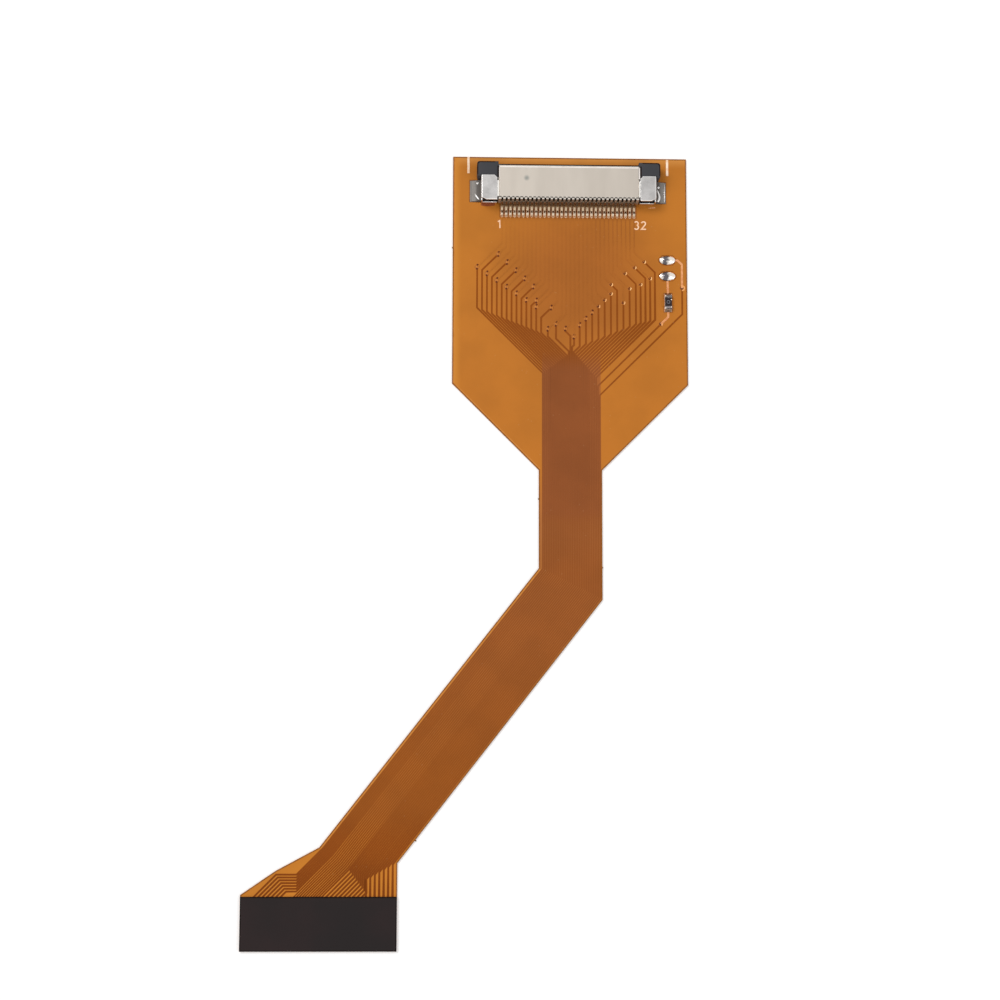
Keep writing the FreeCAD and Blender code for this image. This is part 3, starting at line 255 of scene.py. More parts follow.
class EffectShelf:
    """Builds each shared effect once, as a node group, and hands it out."""

    VALUE = "NodeSocketFloat"
    TINT = "NodeSocketColor"
    PLACE = "NodeSocketVector"
    CLOUD_SPAN = (0.36, 0.66)
    CLOUD_DETAIL = 4.0
    GRAIN_DETAIL = 5.0
    EDGE_SAMPLES = 6
    EDGE_BEND = (0.01, 0.16)
    EDGE_BREAKS = (0.2, 0.6)
    DUST_SCALE = 900.0
    DUST_SHARE = 0.56

    def __init__(self) -> None:
        """Starts with no group built."""
        self.groups: dict[Effect, bpy.types.NodeTree] = {}

    def group(self, effect: Effect) -> bpy.types.NodeTree:
        """Gives an effect's node group and builds it the first time.

        Args:
            effect: Which effect.

        Returns:
            Its node group.
        """
        if effect not in self.groups:
            makers = {
                Effect.CLOUD: self._cloud,
                Effect.GRAIN: self._grain,
                Effect.EDGE_TONE: self._edge_tone,
                Effect.DUST: self._dust,
            }
            self.groups[effect] = makers[effect]()
        return self.groups[effect]

    def place(self, sheet: NodeSheet, effect: Effect, **values: object) -> bpy.types.NodeSocket:
        """Puts an effect into a material.

        Args:
            sheet: The material's node sheet.
            effect: Which effect.
            **values: Its inputs by name, as sockets or plain values.

        Returns:
            The effect's output socket.
        """
        node = sheet.add("ShaderNodeGroup", node_tree=self.group(effect))
        for name, value in values.items():
            sheet.feed(node.inputs[name.replace("_", " ").title()], value)
        return node.outputs[0]

    def _start(
        self, name: str, inputs: dict[str, str], output: tuple[str, str]
    ) -> tuple[NodeSheet, bpy.types.NodeOutputs, bpy.types.NodeInputs]:
        """Opens a group.

        Args:
            name: The group's name.
            inputs: Its input names and their socket types.
            output: Its output's name and socket type.

        Returns:
            The node sheet, the sockets of what is given and the sockets of the result.
        """
        tree = bpy.data.node_groups.new(name, "ShaderNodeTree")
        for label, kind in inputs.items():
            tree.interface.new_socket(name=label, in_out="INPUT", socket_type=kind)
        tree.interface.new_socket(name=output[0], in_out="OUTPUT", socket_type=output[1])
        sheet = NodeSheet(tree)
        return sheet, sheet.add("NodeGroupInput").outputs, sheet.add("NodeGroupOutput").inputs

    def _cloud(self) -> bpy.types.NodeTree:
        """Builds two tones that drift into each other.

        Returns:
            The effect's node group.
        """
        sheet, given, result = self._start(
            "cloud",
            {"Place": self.PLACE, "Scale": self.VALUE, "Plain": self.TINT, "Drift": self.TINT},
            ("Colour", self.TINT),
        )
        swells = sheet.noise(given["Place"], given["Scale"], self.CLOUD_DETAIL)
        value = sheet.ramp(swells, *self.CLOUD_SPAN)
        sheet.feed(result["Colour"], sheet.blend(value, given["Plain"], given["Drift"]))
        return sheet.tree

    def _grain(self) -> bpy.types.NodeTree:
        """Builds a fine uneven value between a low and a high one.

        Returns:
            The effect's node group.
        """
        sheet, given, result = self._start(
            "grain",
            {"Place": self.PLACE, "Scale": self.VALUE, "Low": self.VALUE, "High": self.VALUE},
            ("Value", self.VALUE),
        )
        value = sheet.noise(given["Place"], given["Scale"], self.GRAIN_DETAIL)
        span = sheet.math("SUBTRACT", given["High"], given["Low"])
        sheet.feed(result["Value"], sheet.math("MULTIPLY_ADD", value, span, given["Low"]))
        return sheet.tree

    def _edge_tone(self) -> bpy.types.NodeTree:
        """Builds a mask that is 1 along outer edges and breaks up a little.

        Returns:
            The effect's node group.
        """
        sheet, given, result = self._start(
            "edge_wear",
            {"Place": self.PLACE, "Scale": self.VALUE, "Reach": self.VALUE},
            ("Mask", self.VALUE),
        )
        soft = sheet.add("ShaderNodeBevel", samples=self.EDGE_SAMPLES)
        sheet.feed(soft.inputs["Radius"], given["Reach"])
        plain = sheet.add("ShaderNodeNewGeometry")
        compare = sheet.add("ShaderNodeVectorMath", operation="DOT_PRODUCT")
        sheet.feed(compare.inputs[0], soft.outputs[0])
        sheet.feed(compare.inputs[1], plain.outputs["Normal"])
        bend = sheet.math("SUBTRACT", 1.0, compare.outputs["Value"])
        broken = sheet.ramp(sheet.noise(given["Place"], given["Scale"]), *self.EDGE_BREAKS)
        sheet.feed(result["Mask"], sheet.product(sheet.ramp(bend, *self.EDGE_BEND), broken))
        return sheet.tree

    def _dust(self) -> bpy.types.NodeTree:
        """Builds a mask of a few tiny specks.

        Returns:
            The effect's node group.
        """
        sheet, given, result = self._start(
            "dust",
            {"Place": self.PLACE, "Scale": self.VALUE, "Size": self.VALUE},
            ("Mask", self.VALUE),
        )
        cells = sheet.add("ShaderNodeTexVoronoi")
        sheet.feed(cells.inputs["Vector"], given["Place"])
        sheet.feed(cells.inputs["Scale"], given["Scale"])
        speck = sheet.math("LESS_THAN", cells.outputs["Distance"], given["Size"])
        swells = sheet.noise(given["Place"], self.DUST_SCALE)
        few = sheet.math("GREATER_THAN", swells, self.DUST_SHARE)
        sheet.feed(result["Mask"], sheet.product(speck, few))
        return sheet.tree


SHELF = EffectShelf()


@dataclass(frozen=True)
class Finish:
    """What every finish shares: its name, its coordinates and an uneven surface."""

    name: str

    # Swells in a metre of the roughness and the bump, the bump's depth in metres, a speck's size
    GRAIN = 3000.0
    SWELL = 9000.0
    DEPTH = 1e-6
    SPECK = 0.1

    def open(self) -> tuple[bpy.types.Material, NodeSheet, bpy.types.Node]:
        """Starts the material.

        Returns:
            The material, its node sheet and its Principled shader.
        """
        material = bpy.data.materials.new(self.name)
        material.use_nodes = True
        material.node_tree.nodes.clear()
        sheet = NodeSheet(material.node_tree)
        shader = sheet.add("ShaderNodeBsdfPrincipled")
        output = sheet.add("ShaderNodeOutputMaterial")
        sheet.feed(output.inputs["Surface"], shader.outputs[0])
        return material, sheet, shader

    def where(self, sheet: NodeSheet) -> bpy.types.NodeSocket:
        """Gives the place on the part, in metres."""
        return sheet.add("ShaderNodeTexCoord").outputs["Object"]

    def axes(self, sheet: NodeSheet, place: bpy.types.NodeSocket) -> bpy.types.NodeOutputs:
        """Splits a place into its axes.

        Args:
            sheet: The material's node sheet.
            place: The place on the part, in metres.

        Returns:
            The sockets X, Y and Z, in millimetres.
        """
        bigger = sheet.add("ShaderNodeVectorMath", operation="SCALE")
        sheet.feed(bigger.inputs[0], place)
        bigger.inputs["Scale"].default_value = 1 / MM
        split = sheet.add("ShaderNodeSeparateXYZ")
        sheet.feed(split.inputs[0], bigger.outputs[0])
        return split.outputs

    def toned(
        self, sheet: NodeSheet, value: bpy.types.NodeSocket, tones: Bands
    ) -> bpy.types.NodeSocket:
        """Runs through colours along an axis.

        Args:
            sheet: The material's node sheet.
            value: The place along the axis, in millimetres.
            tones: Places and the colour at each, in rising order.

        Returns:
            The colour's socket.
        """
        colour: object = linear(tones[0][1])
        for (start, _), (end, tone) in zip(tones, tones[1:]):
            colour = sheet.blend(sheet.ramp(value, start, end), colour, linear(tone))
        return colour

    def dusted(
        self,
        sheet: NodeSheet,
        place: object,
        colour: object,
        scale: float,
        share: float,
        tone: Colour,
    ) -> bpy.types.NodeSocket:
        """Sprinkles a few faint specks over a colour.

        Args:
            sheet: The material's node sheet.
            place: The place on the part.
            colour: The colour's socket.
            scale: How many cells for specks lie in a metre.
            share: How much of the specks' colour shows.
            tone: The specks' colour.

        Returns:
            The dusted colour's socket.
        """
        speck = SHELF.place(sheet, Effect.DUST, place=place, scale=scale, size=self.SPECK)
        return sheet.blend(sheet.math("MULTIPLY", speck, share), colour, linear(tone))

    def surface(
        self, sheet: NodeSheet, shader: bpy.types.Node, place: object, colour: object, rough: Spot
    ) -> None:
        """Feeds the shader its colour, an uneven roughness and a fine bump.

        Args:
            sheet: The material's node sheet.
            shader: The shader.
            place: The place on the part.
            colour: The colour's socket.
            rough: The lowest and the highest roughness.
        """
        sheet.feed(shader.inputs["Base Color"], colour)
        low, high = rough
        grain = SHELF.place(sheet, Effect.GRAIN, place=place, scale=self.GRAIN, low=low, high=high)
        sheet.feed(shader.inputs["Roughness"], grain)
        bump = sheet.add("ShaderNodeBump")
        bump.inputs["Strength"].default_value = 1.0
        bump.inputs["Distance"].default_value = self.DEPTH
        sheet.feed(bump.inputs["Height"], sheet.noise(place, self.SWELL))
        sheet.feed(shader.inputs["Normal"], bump.outputs[0])


class Zone(Enum):
    """Rows along the part, in millimetres of Y, between which the film changes colour."""

    TAIL = -39.7
    FLARE = -34.5
    RIBBON = -29.0
    BEND = -4.0
    NECK = 2.0
    HEAD = 9.0
    HOLES = 33.6
    CONTACTS = 36.6
    BEHIND = 44.4
    TOP = 45.7


@dataclass(frozen=True)
class AmberFinish(Finish):
    """Amber film, toned along its length, darker among the lines and in the head's middle."""

    tones: tuple[tuple[Zone, Colour], ...]
    heart: Colour = (173, 101, 37)
    heart_place: Spot = (12.6, 31.0)
    heart_reach: float = 14.0
    heart_inner: float = 3.0
    core: Colour = (164, 95, 46)
    core_middle: float = 11.8
    core_half: float = 3.5
    core_top: float = 23.0
    core_softs: Point = (0.2, 3.0, 2.0)
    cloud_scale: float = 170.0
    cloud_dark: float = 0.91
    rim: Colour | None = None
    rim_scale: float = 500.0
    rim_reach: float = 0.00012
    # Painted shadow among and behind the contacts, turning greyer and lighter towards the moulding's
    # wall
    shade: Colour | None = None
    wall_shade: Colour = (176, 142, 108)
    wall_rows: Spot = (0.8, 0.3)
    shade_box: tuple[float, float, float, float] = (3.5, 37.9, 19.4, 40.2)
    shade_softs: Point = (0.15, 1.4, 0.05)
    flank: Colour | None = None
    flank_place: Spot = (-0.9, -1.9)
    flank_low: float = 7.0
    dust: float = 0.08
    dust_scale: float = 1300.0
    dust_tone: Colour = (225, 190, 140)
    rough: Spot = (0.40, 0.52)
    shine: float = 0.12

    GRAIN = 2600.0
    SWELL = 5200.0
    DEPTH = 2e-6

    def core_mask(self, sheet: NodeSheet, axes: bpy.types.NodeOutputs) -> bpy.types.NodeSocket:
        """Masks the dense lines from the neck up into the head.

        Args:
            sheet: The material's node sheet.
            axes: The place's axes, in millimetres.

        Returns:
            The mask's socket.
        """
        side, top, foot = self.core_softs
        low = Zone.NECK.value
        return sheet.product(
            sheet.ramp(sheet.off(axes["X"], self.core_middle), self.core_half, self.core_half - side),
            sheet.ramp(axes["Y"], self.core_top, self.core_top - top),
            sheet.ramp(axes["Y"], low, low + foot),
        )

    def flank_mask(self, sheet: NodeSheet, axes: bpy.types.NodeOutputs) -> bpy.types.NodeSocket:
        """Masks the head's left flank."""
        beside = sheet.ramp(axes["X"], *self.flank_place)
        return sheet.product(beside, sheet.ramp(axes["Y"], self.flank_low, Zone.HEAD.value))

    def shaded(
        self, sheet: NodeSheet, axes: bpy.types.NodeOutputs, colour: bpy.types.NodeSocket
    ) -> bpy.types.NodeSocket:
        """Paints shadow on the film among and behind the contacts, as far as the moulding's wall.

        Args:
            sheet: The material's node sheet.
            axes: The place's axes, in millimetres.
            colour: The film's colour.

        Returns:
            The shaded colour's socket.
        """
        left, low, right, high = self.shade_box
        side, front, back = self.shade_softs
        inside = sheet.product(
            sheet.ramp(axes["X"], left, left + side),
            sheet.ramp(axes["X"], right, right - side),
            sheet.ramp(axes["Y"], low, low + front),
            sheet.ramp(axes["Y"], high, high - back),
        )
        start, end = (high - row for row in self.wall_rows)
        tone = self.toned(sheet, axes["Y"], ((start, self.shade), (end, self.wall_shade)))
        return sheet.blend(inside, colour, tone)

    def build(self) -> bpy.types.Material:
        """Makes the material.

        Returns:
            The finished material.
        """
        material, sheet, shader = self.open()
        place = self.where(sheet)
        axes = self.axes(sheet, place)
        colour = self.toned(sheet, axes["Y"], [(zone.value, tone) for zone, tone in self.tones])
        middle = sheet.ramp(
            sheet.distance(axes, self.heart_place), self.heart_reach, self.heart_inner
        )
        colour = sheet.blend(middle, colour, linear(self.heart))
        colour = sheet.blend(self.core_mask(sheet, axes), colour, linear(self.core))
        drift = sheet.darker(colour, self.cloud_dark)
        colour = SHELF.place(
            sheet, Effect.CLOUD, place=place, scale=self.cloud_scale, plain=colour, drift=drift
        )
        if self.flank:
            colour = sheet.blend(self.flank_mask(sheet, axes), colour, linear(self.flank))
        if self.shade:
            colour = self.shaded(sheet, axes, colour)
        if self.rim:
            edges = SHELF.place(
                sheet, Effect.EDGE_TONE, place=place, scale=self.rim_scale, reach=self.rim_reach
            )
            colour = sheet.blend(edges, colour, linear(self.rim))
        colour = self.dusted(sheet, place, colour, self.dust_scale, self.dust, self.dust_tone)
        self.surface(sheet, shader, place, colour, self.rough)
        shader.inputs["Specular IOR Level"].default_value = self.shine
        return material


@dataclass(frozen=True)
class MetalFinish(Finish):
    """Bare or plated metal, cloudy, with a painted highlight along its edges and, if named, a spot
    and ends.

    Its plain tone is one colour, or colours along the part. With no drift named, the clouds
    are a darker plain tone.
    """

    plain: Colour | Bands
    drift: Colour | None
    # The colour of the painted highlight along the edges
    edge_highlight: Colour
    rough: Spot = (0.28, 0.42)
    metallic: float = 1.0
    reach: float = 0.00005
    edge_scale: float = 1500.0
    cloud_scale: float = 900.0
    cloud_dark: float = 0.82
    brushed: bool = False
    brush: Point = (1.0, 0.1, 1.0)
    spot: Spot | None = None
    spot_reach: Spot = (0.45, 0.05)
    spot_tone: Colour = (150, 150, 144)
    ends: Spot | None = None
    ends_tone: Colour = (238, 235, 230)
    ends_soft: float = 0.04
    ends_top: float = 100.0
    ends_fade: float = 0.1
    ends_dark: Colour = (52, 48, 46)

    GRAIN = 4000.0

    def stretched(self, sheet: NodeSheet, place: bpy.types.NodeSocket) -> bpy.types.NodeSocket:
        """Stretches the clouds and the grain of brushed metal.

        Args:
            sheet: The material's node sheet.
            place: The place on the part.

        Returns:
            The stretched place's socket.
        """
        stretch = sheet.add("ShaderNodeMapping")
        stretch.inputs["Scale"].default_value = self.brush
        sheet.feed(stretch.inputs["Vector"], place)
        return stretch.outputs[0]

    def ended(
        self, sheet: NodeSheet, axes: bpy.types.NodeOutputs, colour: bpy.types.NodeSocket
    ) -> bpy.types.NodeSocket:
        """Tones the metal beyond a distance from a middle, and darkens it above a row.

        Args:
            sheet: The material's node sheet.
            axes: The place's axes, in millimetres.
            colour: The metal's colour.

        Returns:
            The toned colour's socket.
        """
        middle, reach = self.ends
        outside = sheet.ramp(sheet.off(axes["X"], middle), reach, reach + self.ends_soft)
        fade = ((self.ends_top, self.ends_tone), (self.ends_top + self.ends_fade, self.ends_dark))
        return sheet.blend(outside, colour, self.toned(sheet, axes["Y"], fade))

    def build(self) -> bpy.types.Material:
        """Makes the material.

        Returns:
            The finished material.
        """
        material, sheet, shader = self.open()
        place = self.where(sheet)
        axes = self.axes(sheet, place)
        grain_place = self.stretched(sheet, place) if self.brushed else place
        is_banded = isinstance(self.plain[0], tuple)
        plain = self.toned(sheet, axes["Y"], self.plain) if is_banded else linear(self.plain)
        drift = linear(self.drift) if self.drift else sheet.darker(plain, self.cloud_dark)
        colour = SHELF.place(
            sheet, Effect.CLOUD, place=grain_place, scale=self.cloud_scale, plain=plain, drift=drift
        )
        if self.spot:
            inside = sheet.ramp(sheet.distance(axes, self.spot), *self.spot_reach)
            colour = sheet.blend(inside, colour, linear(self.spot_tone))
        if self.ends:
            colour = self.ended(sheet, axes, colour)
        # Painted highlight: the edges are lightened where they would catch the light
        edges = SHELF.place(
            sheet, Effect.EDGE_TONE, place=place, scale=self.edge_scale, reach=self.reach
        )
        colour = sheet.blend(edges, colour, linear(self.edge_highlight))
        self.surface(sheet, shader, grain_place, colour, self.rough)
        shader.inputs["Metallic"].default_value = self.metallic
        return material


@dataclass(frozen=True)
class PlasticFinish(Finish):
    """Moulding, film, ceramic, or a painted shadow: cloudy, with a little dust and softened edges."""

    plain: Colour
    drift: Colour
    edge: Colour
    rough: Spot = (0.45, 0.6)
    shine: float = 0.2
    dust: float = 0.06
    dust_scale: float = 1500.0
    dust_tone: Colour = (190, 186, 180)
    cloud_scale: float = 220.0
    edge_scale: float = 900.0
    reach: float = 0.00008

    SWELL = 7000.0
    DEPTH = 2e-6

    def build(self) -> bpy.types.Material:
        """Makes the material.

        Returns:
            The finished material.
        """
        material, sheet, shader = self.open()
        place = self.where(sheet)
        plain, drift = linear(self.plain), linear(self.drift)
        colour = SHELF.place(
            sheet, Effect.CLOUD, place=place, scale=self.cloud_scale, plain=plain, drift=drift
        )
        edges = SHELF.place(
            sheet, Effect.EDGE_TONE, place=place, scale=self.edge_scale, reach=self.reach
        )
        colour = sheet.blend(edges, colour, linear(self.edge))
        colour = self.dusted(sheet, place, colour, self.dust_scale, self.dust, self.dust_tone)
        self.surface(sheet, shader, place, colour, self.rough)
        shader.inputs["Specular IOR Level"].default_value = self.shine
        return material


@dataclass(frozen=True)
class InkFinish(Finish):
    """A thin coat, cloudy in two tones: printed ink, or the tone of an edge or a seam."""

    plain: Colour
    thin: Colour
    rough: Spot = (0.55, 0.7)
    shine: float = 0.5
    cloud_scale: float = 2500.0

    GRAIN = 5000.0

    def build(self) -> bpy.types.Material:
        """Makes the material.

        Returns:
            The finished material.
        """
        material, sheet, shader = self.open()
        place = self.where(sheet)
        plain, thin = linear(self.plain), linear(self.thin)
        colour = SHELF.place(
            sheet, Effect.CLOUD, place=place, scale=self.cloud_scale, plain=plain, drift=thin
        )
        self.surface(sheet, shader, place, colour, self.rough)
        shader.inputs["Specular IOR Level"].default_value = self.shine
        return material


@dataclass(frozen=True)
class SolderFinish(Finish):
    """Solder with a painted reflection of a soft light: bright, with a darker band across its middle.
    """

    bright: Colour
    band: Colour
    band_middle: float
    band_half: float
    band_core: float = 0.45
    uneven_scale: float = 2200.0
    rough: Spot = (0.12, 0.3)

    SWELL = 3000.0
    DEPTH = 1.5e-5

    def build(self) -> bpy.types.Material:
        """Makes the material.

        Returns:
            The finished material.
        """
        material, sheet, shader = self.open()
        place = self.where(sheet)
        across = self.axes(sheet, place)["X"]
        uneven = sheet.math("SUBTRACT", sheet.noise(place, self.uneven_scale), 0.5)
        off = sheet.off(sheet.math("ADD", across, uneven), self.band_middle)
        inside = sheet.ramp(off, self.band_half, self.band_half * self.band_core)
        colour = sheet.blend(inside, linear(self.bright), linear(self.band))
        self.surface(sheet, shader, place, colour, self.rough)
        shader.inputs["Metallic"].default_value = 1.0
        return material


def joined(meshes: Sequence[MeshData]) -> MeshData:
    """Puts several meshes into one.

    Args:
        meshes: Points and faces of each.

    Returns:
        The points and faces of all.
    """
    points: list[Point] = []
    faces: list[tuple[int, ...]] = []
    for some_points, some_faces in meshes:
        start = len(points)
        points.extend(some_points)
        faces.extend(tuple(start + corner for corner in face) for face in some_faces)
    return points, faces


def bead(
    path: Sequence[Point], widths: Sequence[float], thick: float, aside: float = 0.0
) -> MeshData:
    """Lays a thin solid strip along points, with mitred corners.

    Args:
        path: The points of its underside's middle.
        widths: Its width at each point.
        thick: Its thickness.
        aside: How far its middle lies to the left of the points.

    Returns:
        The strip's points and faces.
    """
    line = [Vector(point[:2]) for point in path]
    last = len(line) - 1
    points: list[Point] = []
    for place, (corner, width) in enumerate(zip(line, widths)):
        ahead = (line[min(place + 1, last)] - line[min(place, last - 1)]).normalized()
        behind = (corner - line[place - 1]).normalized() if place else ahead
        side = Vector((-behind.y - ahead.y, behind.x + ahead.x)).normalized()
        mitre = 1 / max(side.dot(Vector((-behind.y, behind.x))), BLUNT)
        for rise in (0.0, thick):
            for hand in (-1, 1):
                spot = corner + side * (aside + hand * width / 2) * mitre
                points.append((spot.x, spot.y, path[place][2] + rise))
    faces: list[tuple[int, ...]] = [(0, 2, 3, 1)]
    for place in range(last):
        a, b = 4 * place, 4 * place + 4
        faces += [(a, a + 1, b + 1, b), (a + 2, b + 2, b + 3, a + 3)]
        faces += [(a, b, b + 2, a + 2), (a + 1, a + 3, b + 3, b + 1)]
    end = 4 * last
    faces.append((end, end + 1, end + 3, end + 2))
    return points, faces


def stroke(path: Sequence[Spot], width: float, low: float, high: float) -> MeshData:
    """Draws a flat line of one width between two heights.

    Args:
        path: The corners of the line's middle.
        width: Its width.
        low: The height of its underside.
        high: The height of its top.

    Returns:
        The strip's points and faces.
    """
    return bead([(x, y, low) for x, y in path], [width] * len(path), high - low)


def facing(points: Sequence[Point], face: Sequence[int]) -> Vector:
    """Works out which way a face looks.

    Args:
        points: The mesh's points.
        face: The numbers of the face's corners.

    Returns:
        The face's normal, with a length of 1.
    """
    first, second, third = (Vector(points[corner]) for corner in face[:3])
    return (second - first).cross(third - first).normalized()


def widened(data: MeshData, amount: Callable[[Point], float]) -> MeshData:
    """Moves the upright walls of a mesh outwards.

    Args:
        data: The mesh's points and faces.
        amount: Says for a point how far its walls move.

    Returns:
        The widened mesh's points and faces.
    """
    points, faces = data
    pushes = [Vector((0.0, 0.0)) for _ in points]
    for face in faces:
        normal = facing(points, face)
        if abs(normal.z) < UPRIGHT:
            for corner in face:
                pushes[corner] += normal.xy
    moved = []
    for point, push in zip(points, pushes):
        step = push.normalized() * amount(point) if push.length > FAINT else Vector((0.0, 0.0))
        moved.append((point[0] + step.x, point[1] + step.y, point[2]))
    return moved, faces


def turned(
    centre: Spot, profile: Sequence[Spot], start: float = 0.0, sweep: float = 360.0, sides: int = 20
) -> MeshData:
    """Turns a profile about an upright line.

    Args:
        centre: Where the line stands.
        profile: Radius and height of each point.
        start: The first side's direction in degrees.
        sweep: How far round it goes in degrees.
        sides: How many faces that takes.

    Returns:
        The surface's points and faces.
    """
    whole = sweep >= 360
    columns = sides if whole else sides + 1
    points: list[Point] = []
    for column in range(columns):
        angle = math.radians(start + sweep * column / sides)
        for radius, height in profile:
            points.append(
                (centre[0] + radius * math.cos(angle), centre[1] + radius * math.sin(angle), height)
            )
    rows = len(profile)
    faces: list[tuple[int, ...]] = []
    for column in range(sides):
        here, there = column * rows, ((column + 1) % columns) * rows
        for row in range(rows - 1):
            faces.append((here + row, there + row, there + row + 1, here + row + 1))
    return points, faces


def copied(node: str, chosen: Callable[[list[Point]], bool] | None = None) -> MeshData:
    """Copies the faces of a CAD node.

    Args:
        node: The node's name.
        chosen: Says of a face's corners whether the face is taken. Without it, all are.

    Returns:
        Their points and faces, with shared points joined.
    """
    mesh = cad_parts[node].data
    places = [tuple(round(value / MM, DIGITS) for value in vertex.co) for vertex in mesh.vertices]
    index: dict[Point, int] = {}
    faces: list[tuple[int, ...]] = []
    for polygon in mesh.polygons:
        corners = [places[vertex] for vertex in polygon.vertices]
        is_whole = len(set(corners)) == len(corners)
        if is_whole and (chosen is None or chosen(corners)):
            faces.append(tuple(index.setdefault(corner, len(index)) for corner in corners))
    return list(index), faces


def make_piece(
    name: str, data: MeshData, material: bpy.types.Material, smooth: bool = False
) -> bpy.types.Object:
    """Makes a piece of the part.

    Args:
        name: The piece's name.
        data: Its points, in millimetres, and faces.
        material: Its finish.
        smooth: True for a rounded surface.

    Returns:
        The new object, riding on the part's body.
    """
    mesh = bpy.data.meshes.new(name)
    mesh.from_pydata([[value * MM for value in point] for point in data[0]], [], data[1])
    mesh.validate()
    mesh.materials.append(material)
    for polygon in mesh.polygons:
        polygon.use_smooth = smooth
    piece = bpy.data.objects.new(name, mesh)
    bpy.context.scene.collection.objects.link(piece)
    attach(piece, ROOT)
    log.info("%s: %d faces", name, len(mesh.polygons))
    return piece


def dress(node: str, material: bpy.types.Material) -> None:
    """Gives a CAD node its finish.

    Args:
        node: The node's name.
        material: The finish.
    """
    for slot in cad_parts[node].material_slots:
        slot.material = material
    log.info("%s: dressed with %s", node, material.name)


@dataclass(frozen=True)
class Strip:
    """The form of a strip along an edge: its width, how far in its middle lies, its thickness."""

    width: float
    inset: float
    thick: float

    def along(self, corners: Sequence[Spot], low: float) -> MeshData:
        """Lays the strip beside corners that are walked clockwise.

        Args:
            corners: The edge's corners.
            low: The height of the strip's underside.

        Returns:
            The strip's points and faces.
        """
        path = [(x, y, low) for x, y in corners]
        return bead(path, [self.width] * len(path), self.thick, -self.inset)


@dataclass(frozen=True)
class Arc:
    """A bent line: its middle, half width and half height, and its two directions in degrees."""

    middle: Spot
    wide: float
    high: float
    start: float
    end: float
    steps: int = 8

    def spots(self) -> list[Spot]:
        """Gives the points along the line.

        Returns:
            One point more than the steps.
        """
        step = (self.end - self.start) / self.steps
        turns = [math.radians(self.start + step * part) for part in range(self.steps + 1)]
        x, y = self.middle
        return [(x + self.wide * math.cos(turn), y + self.high * math.sin(turn)) for turn in turns]


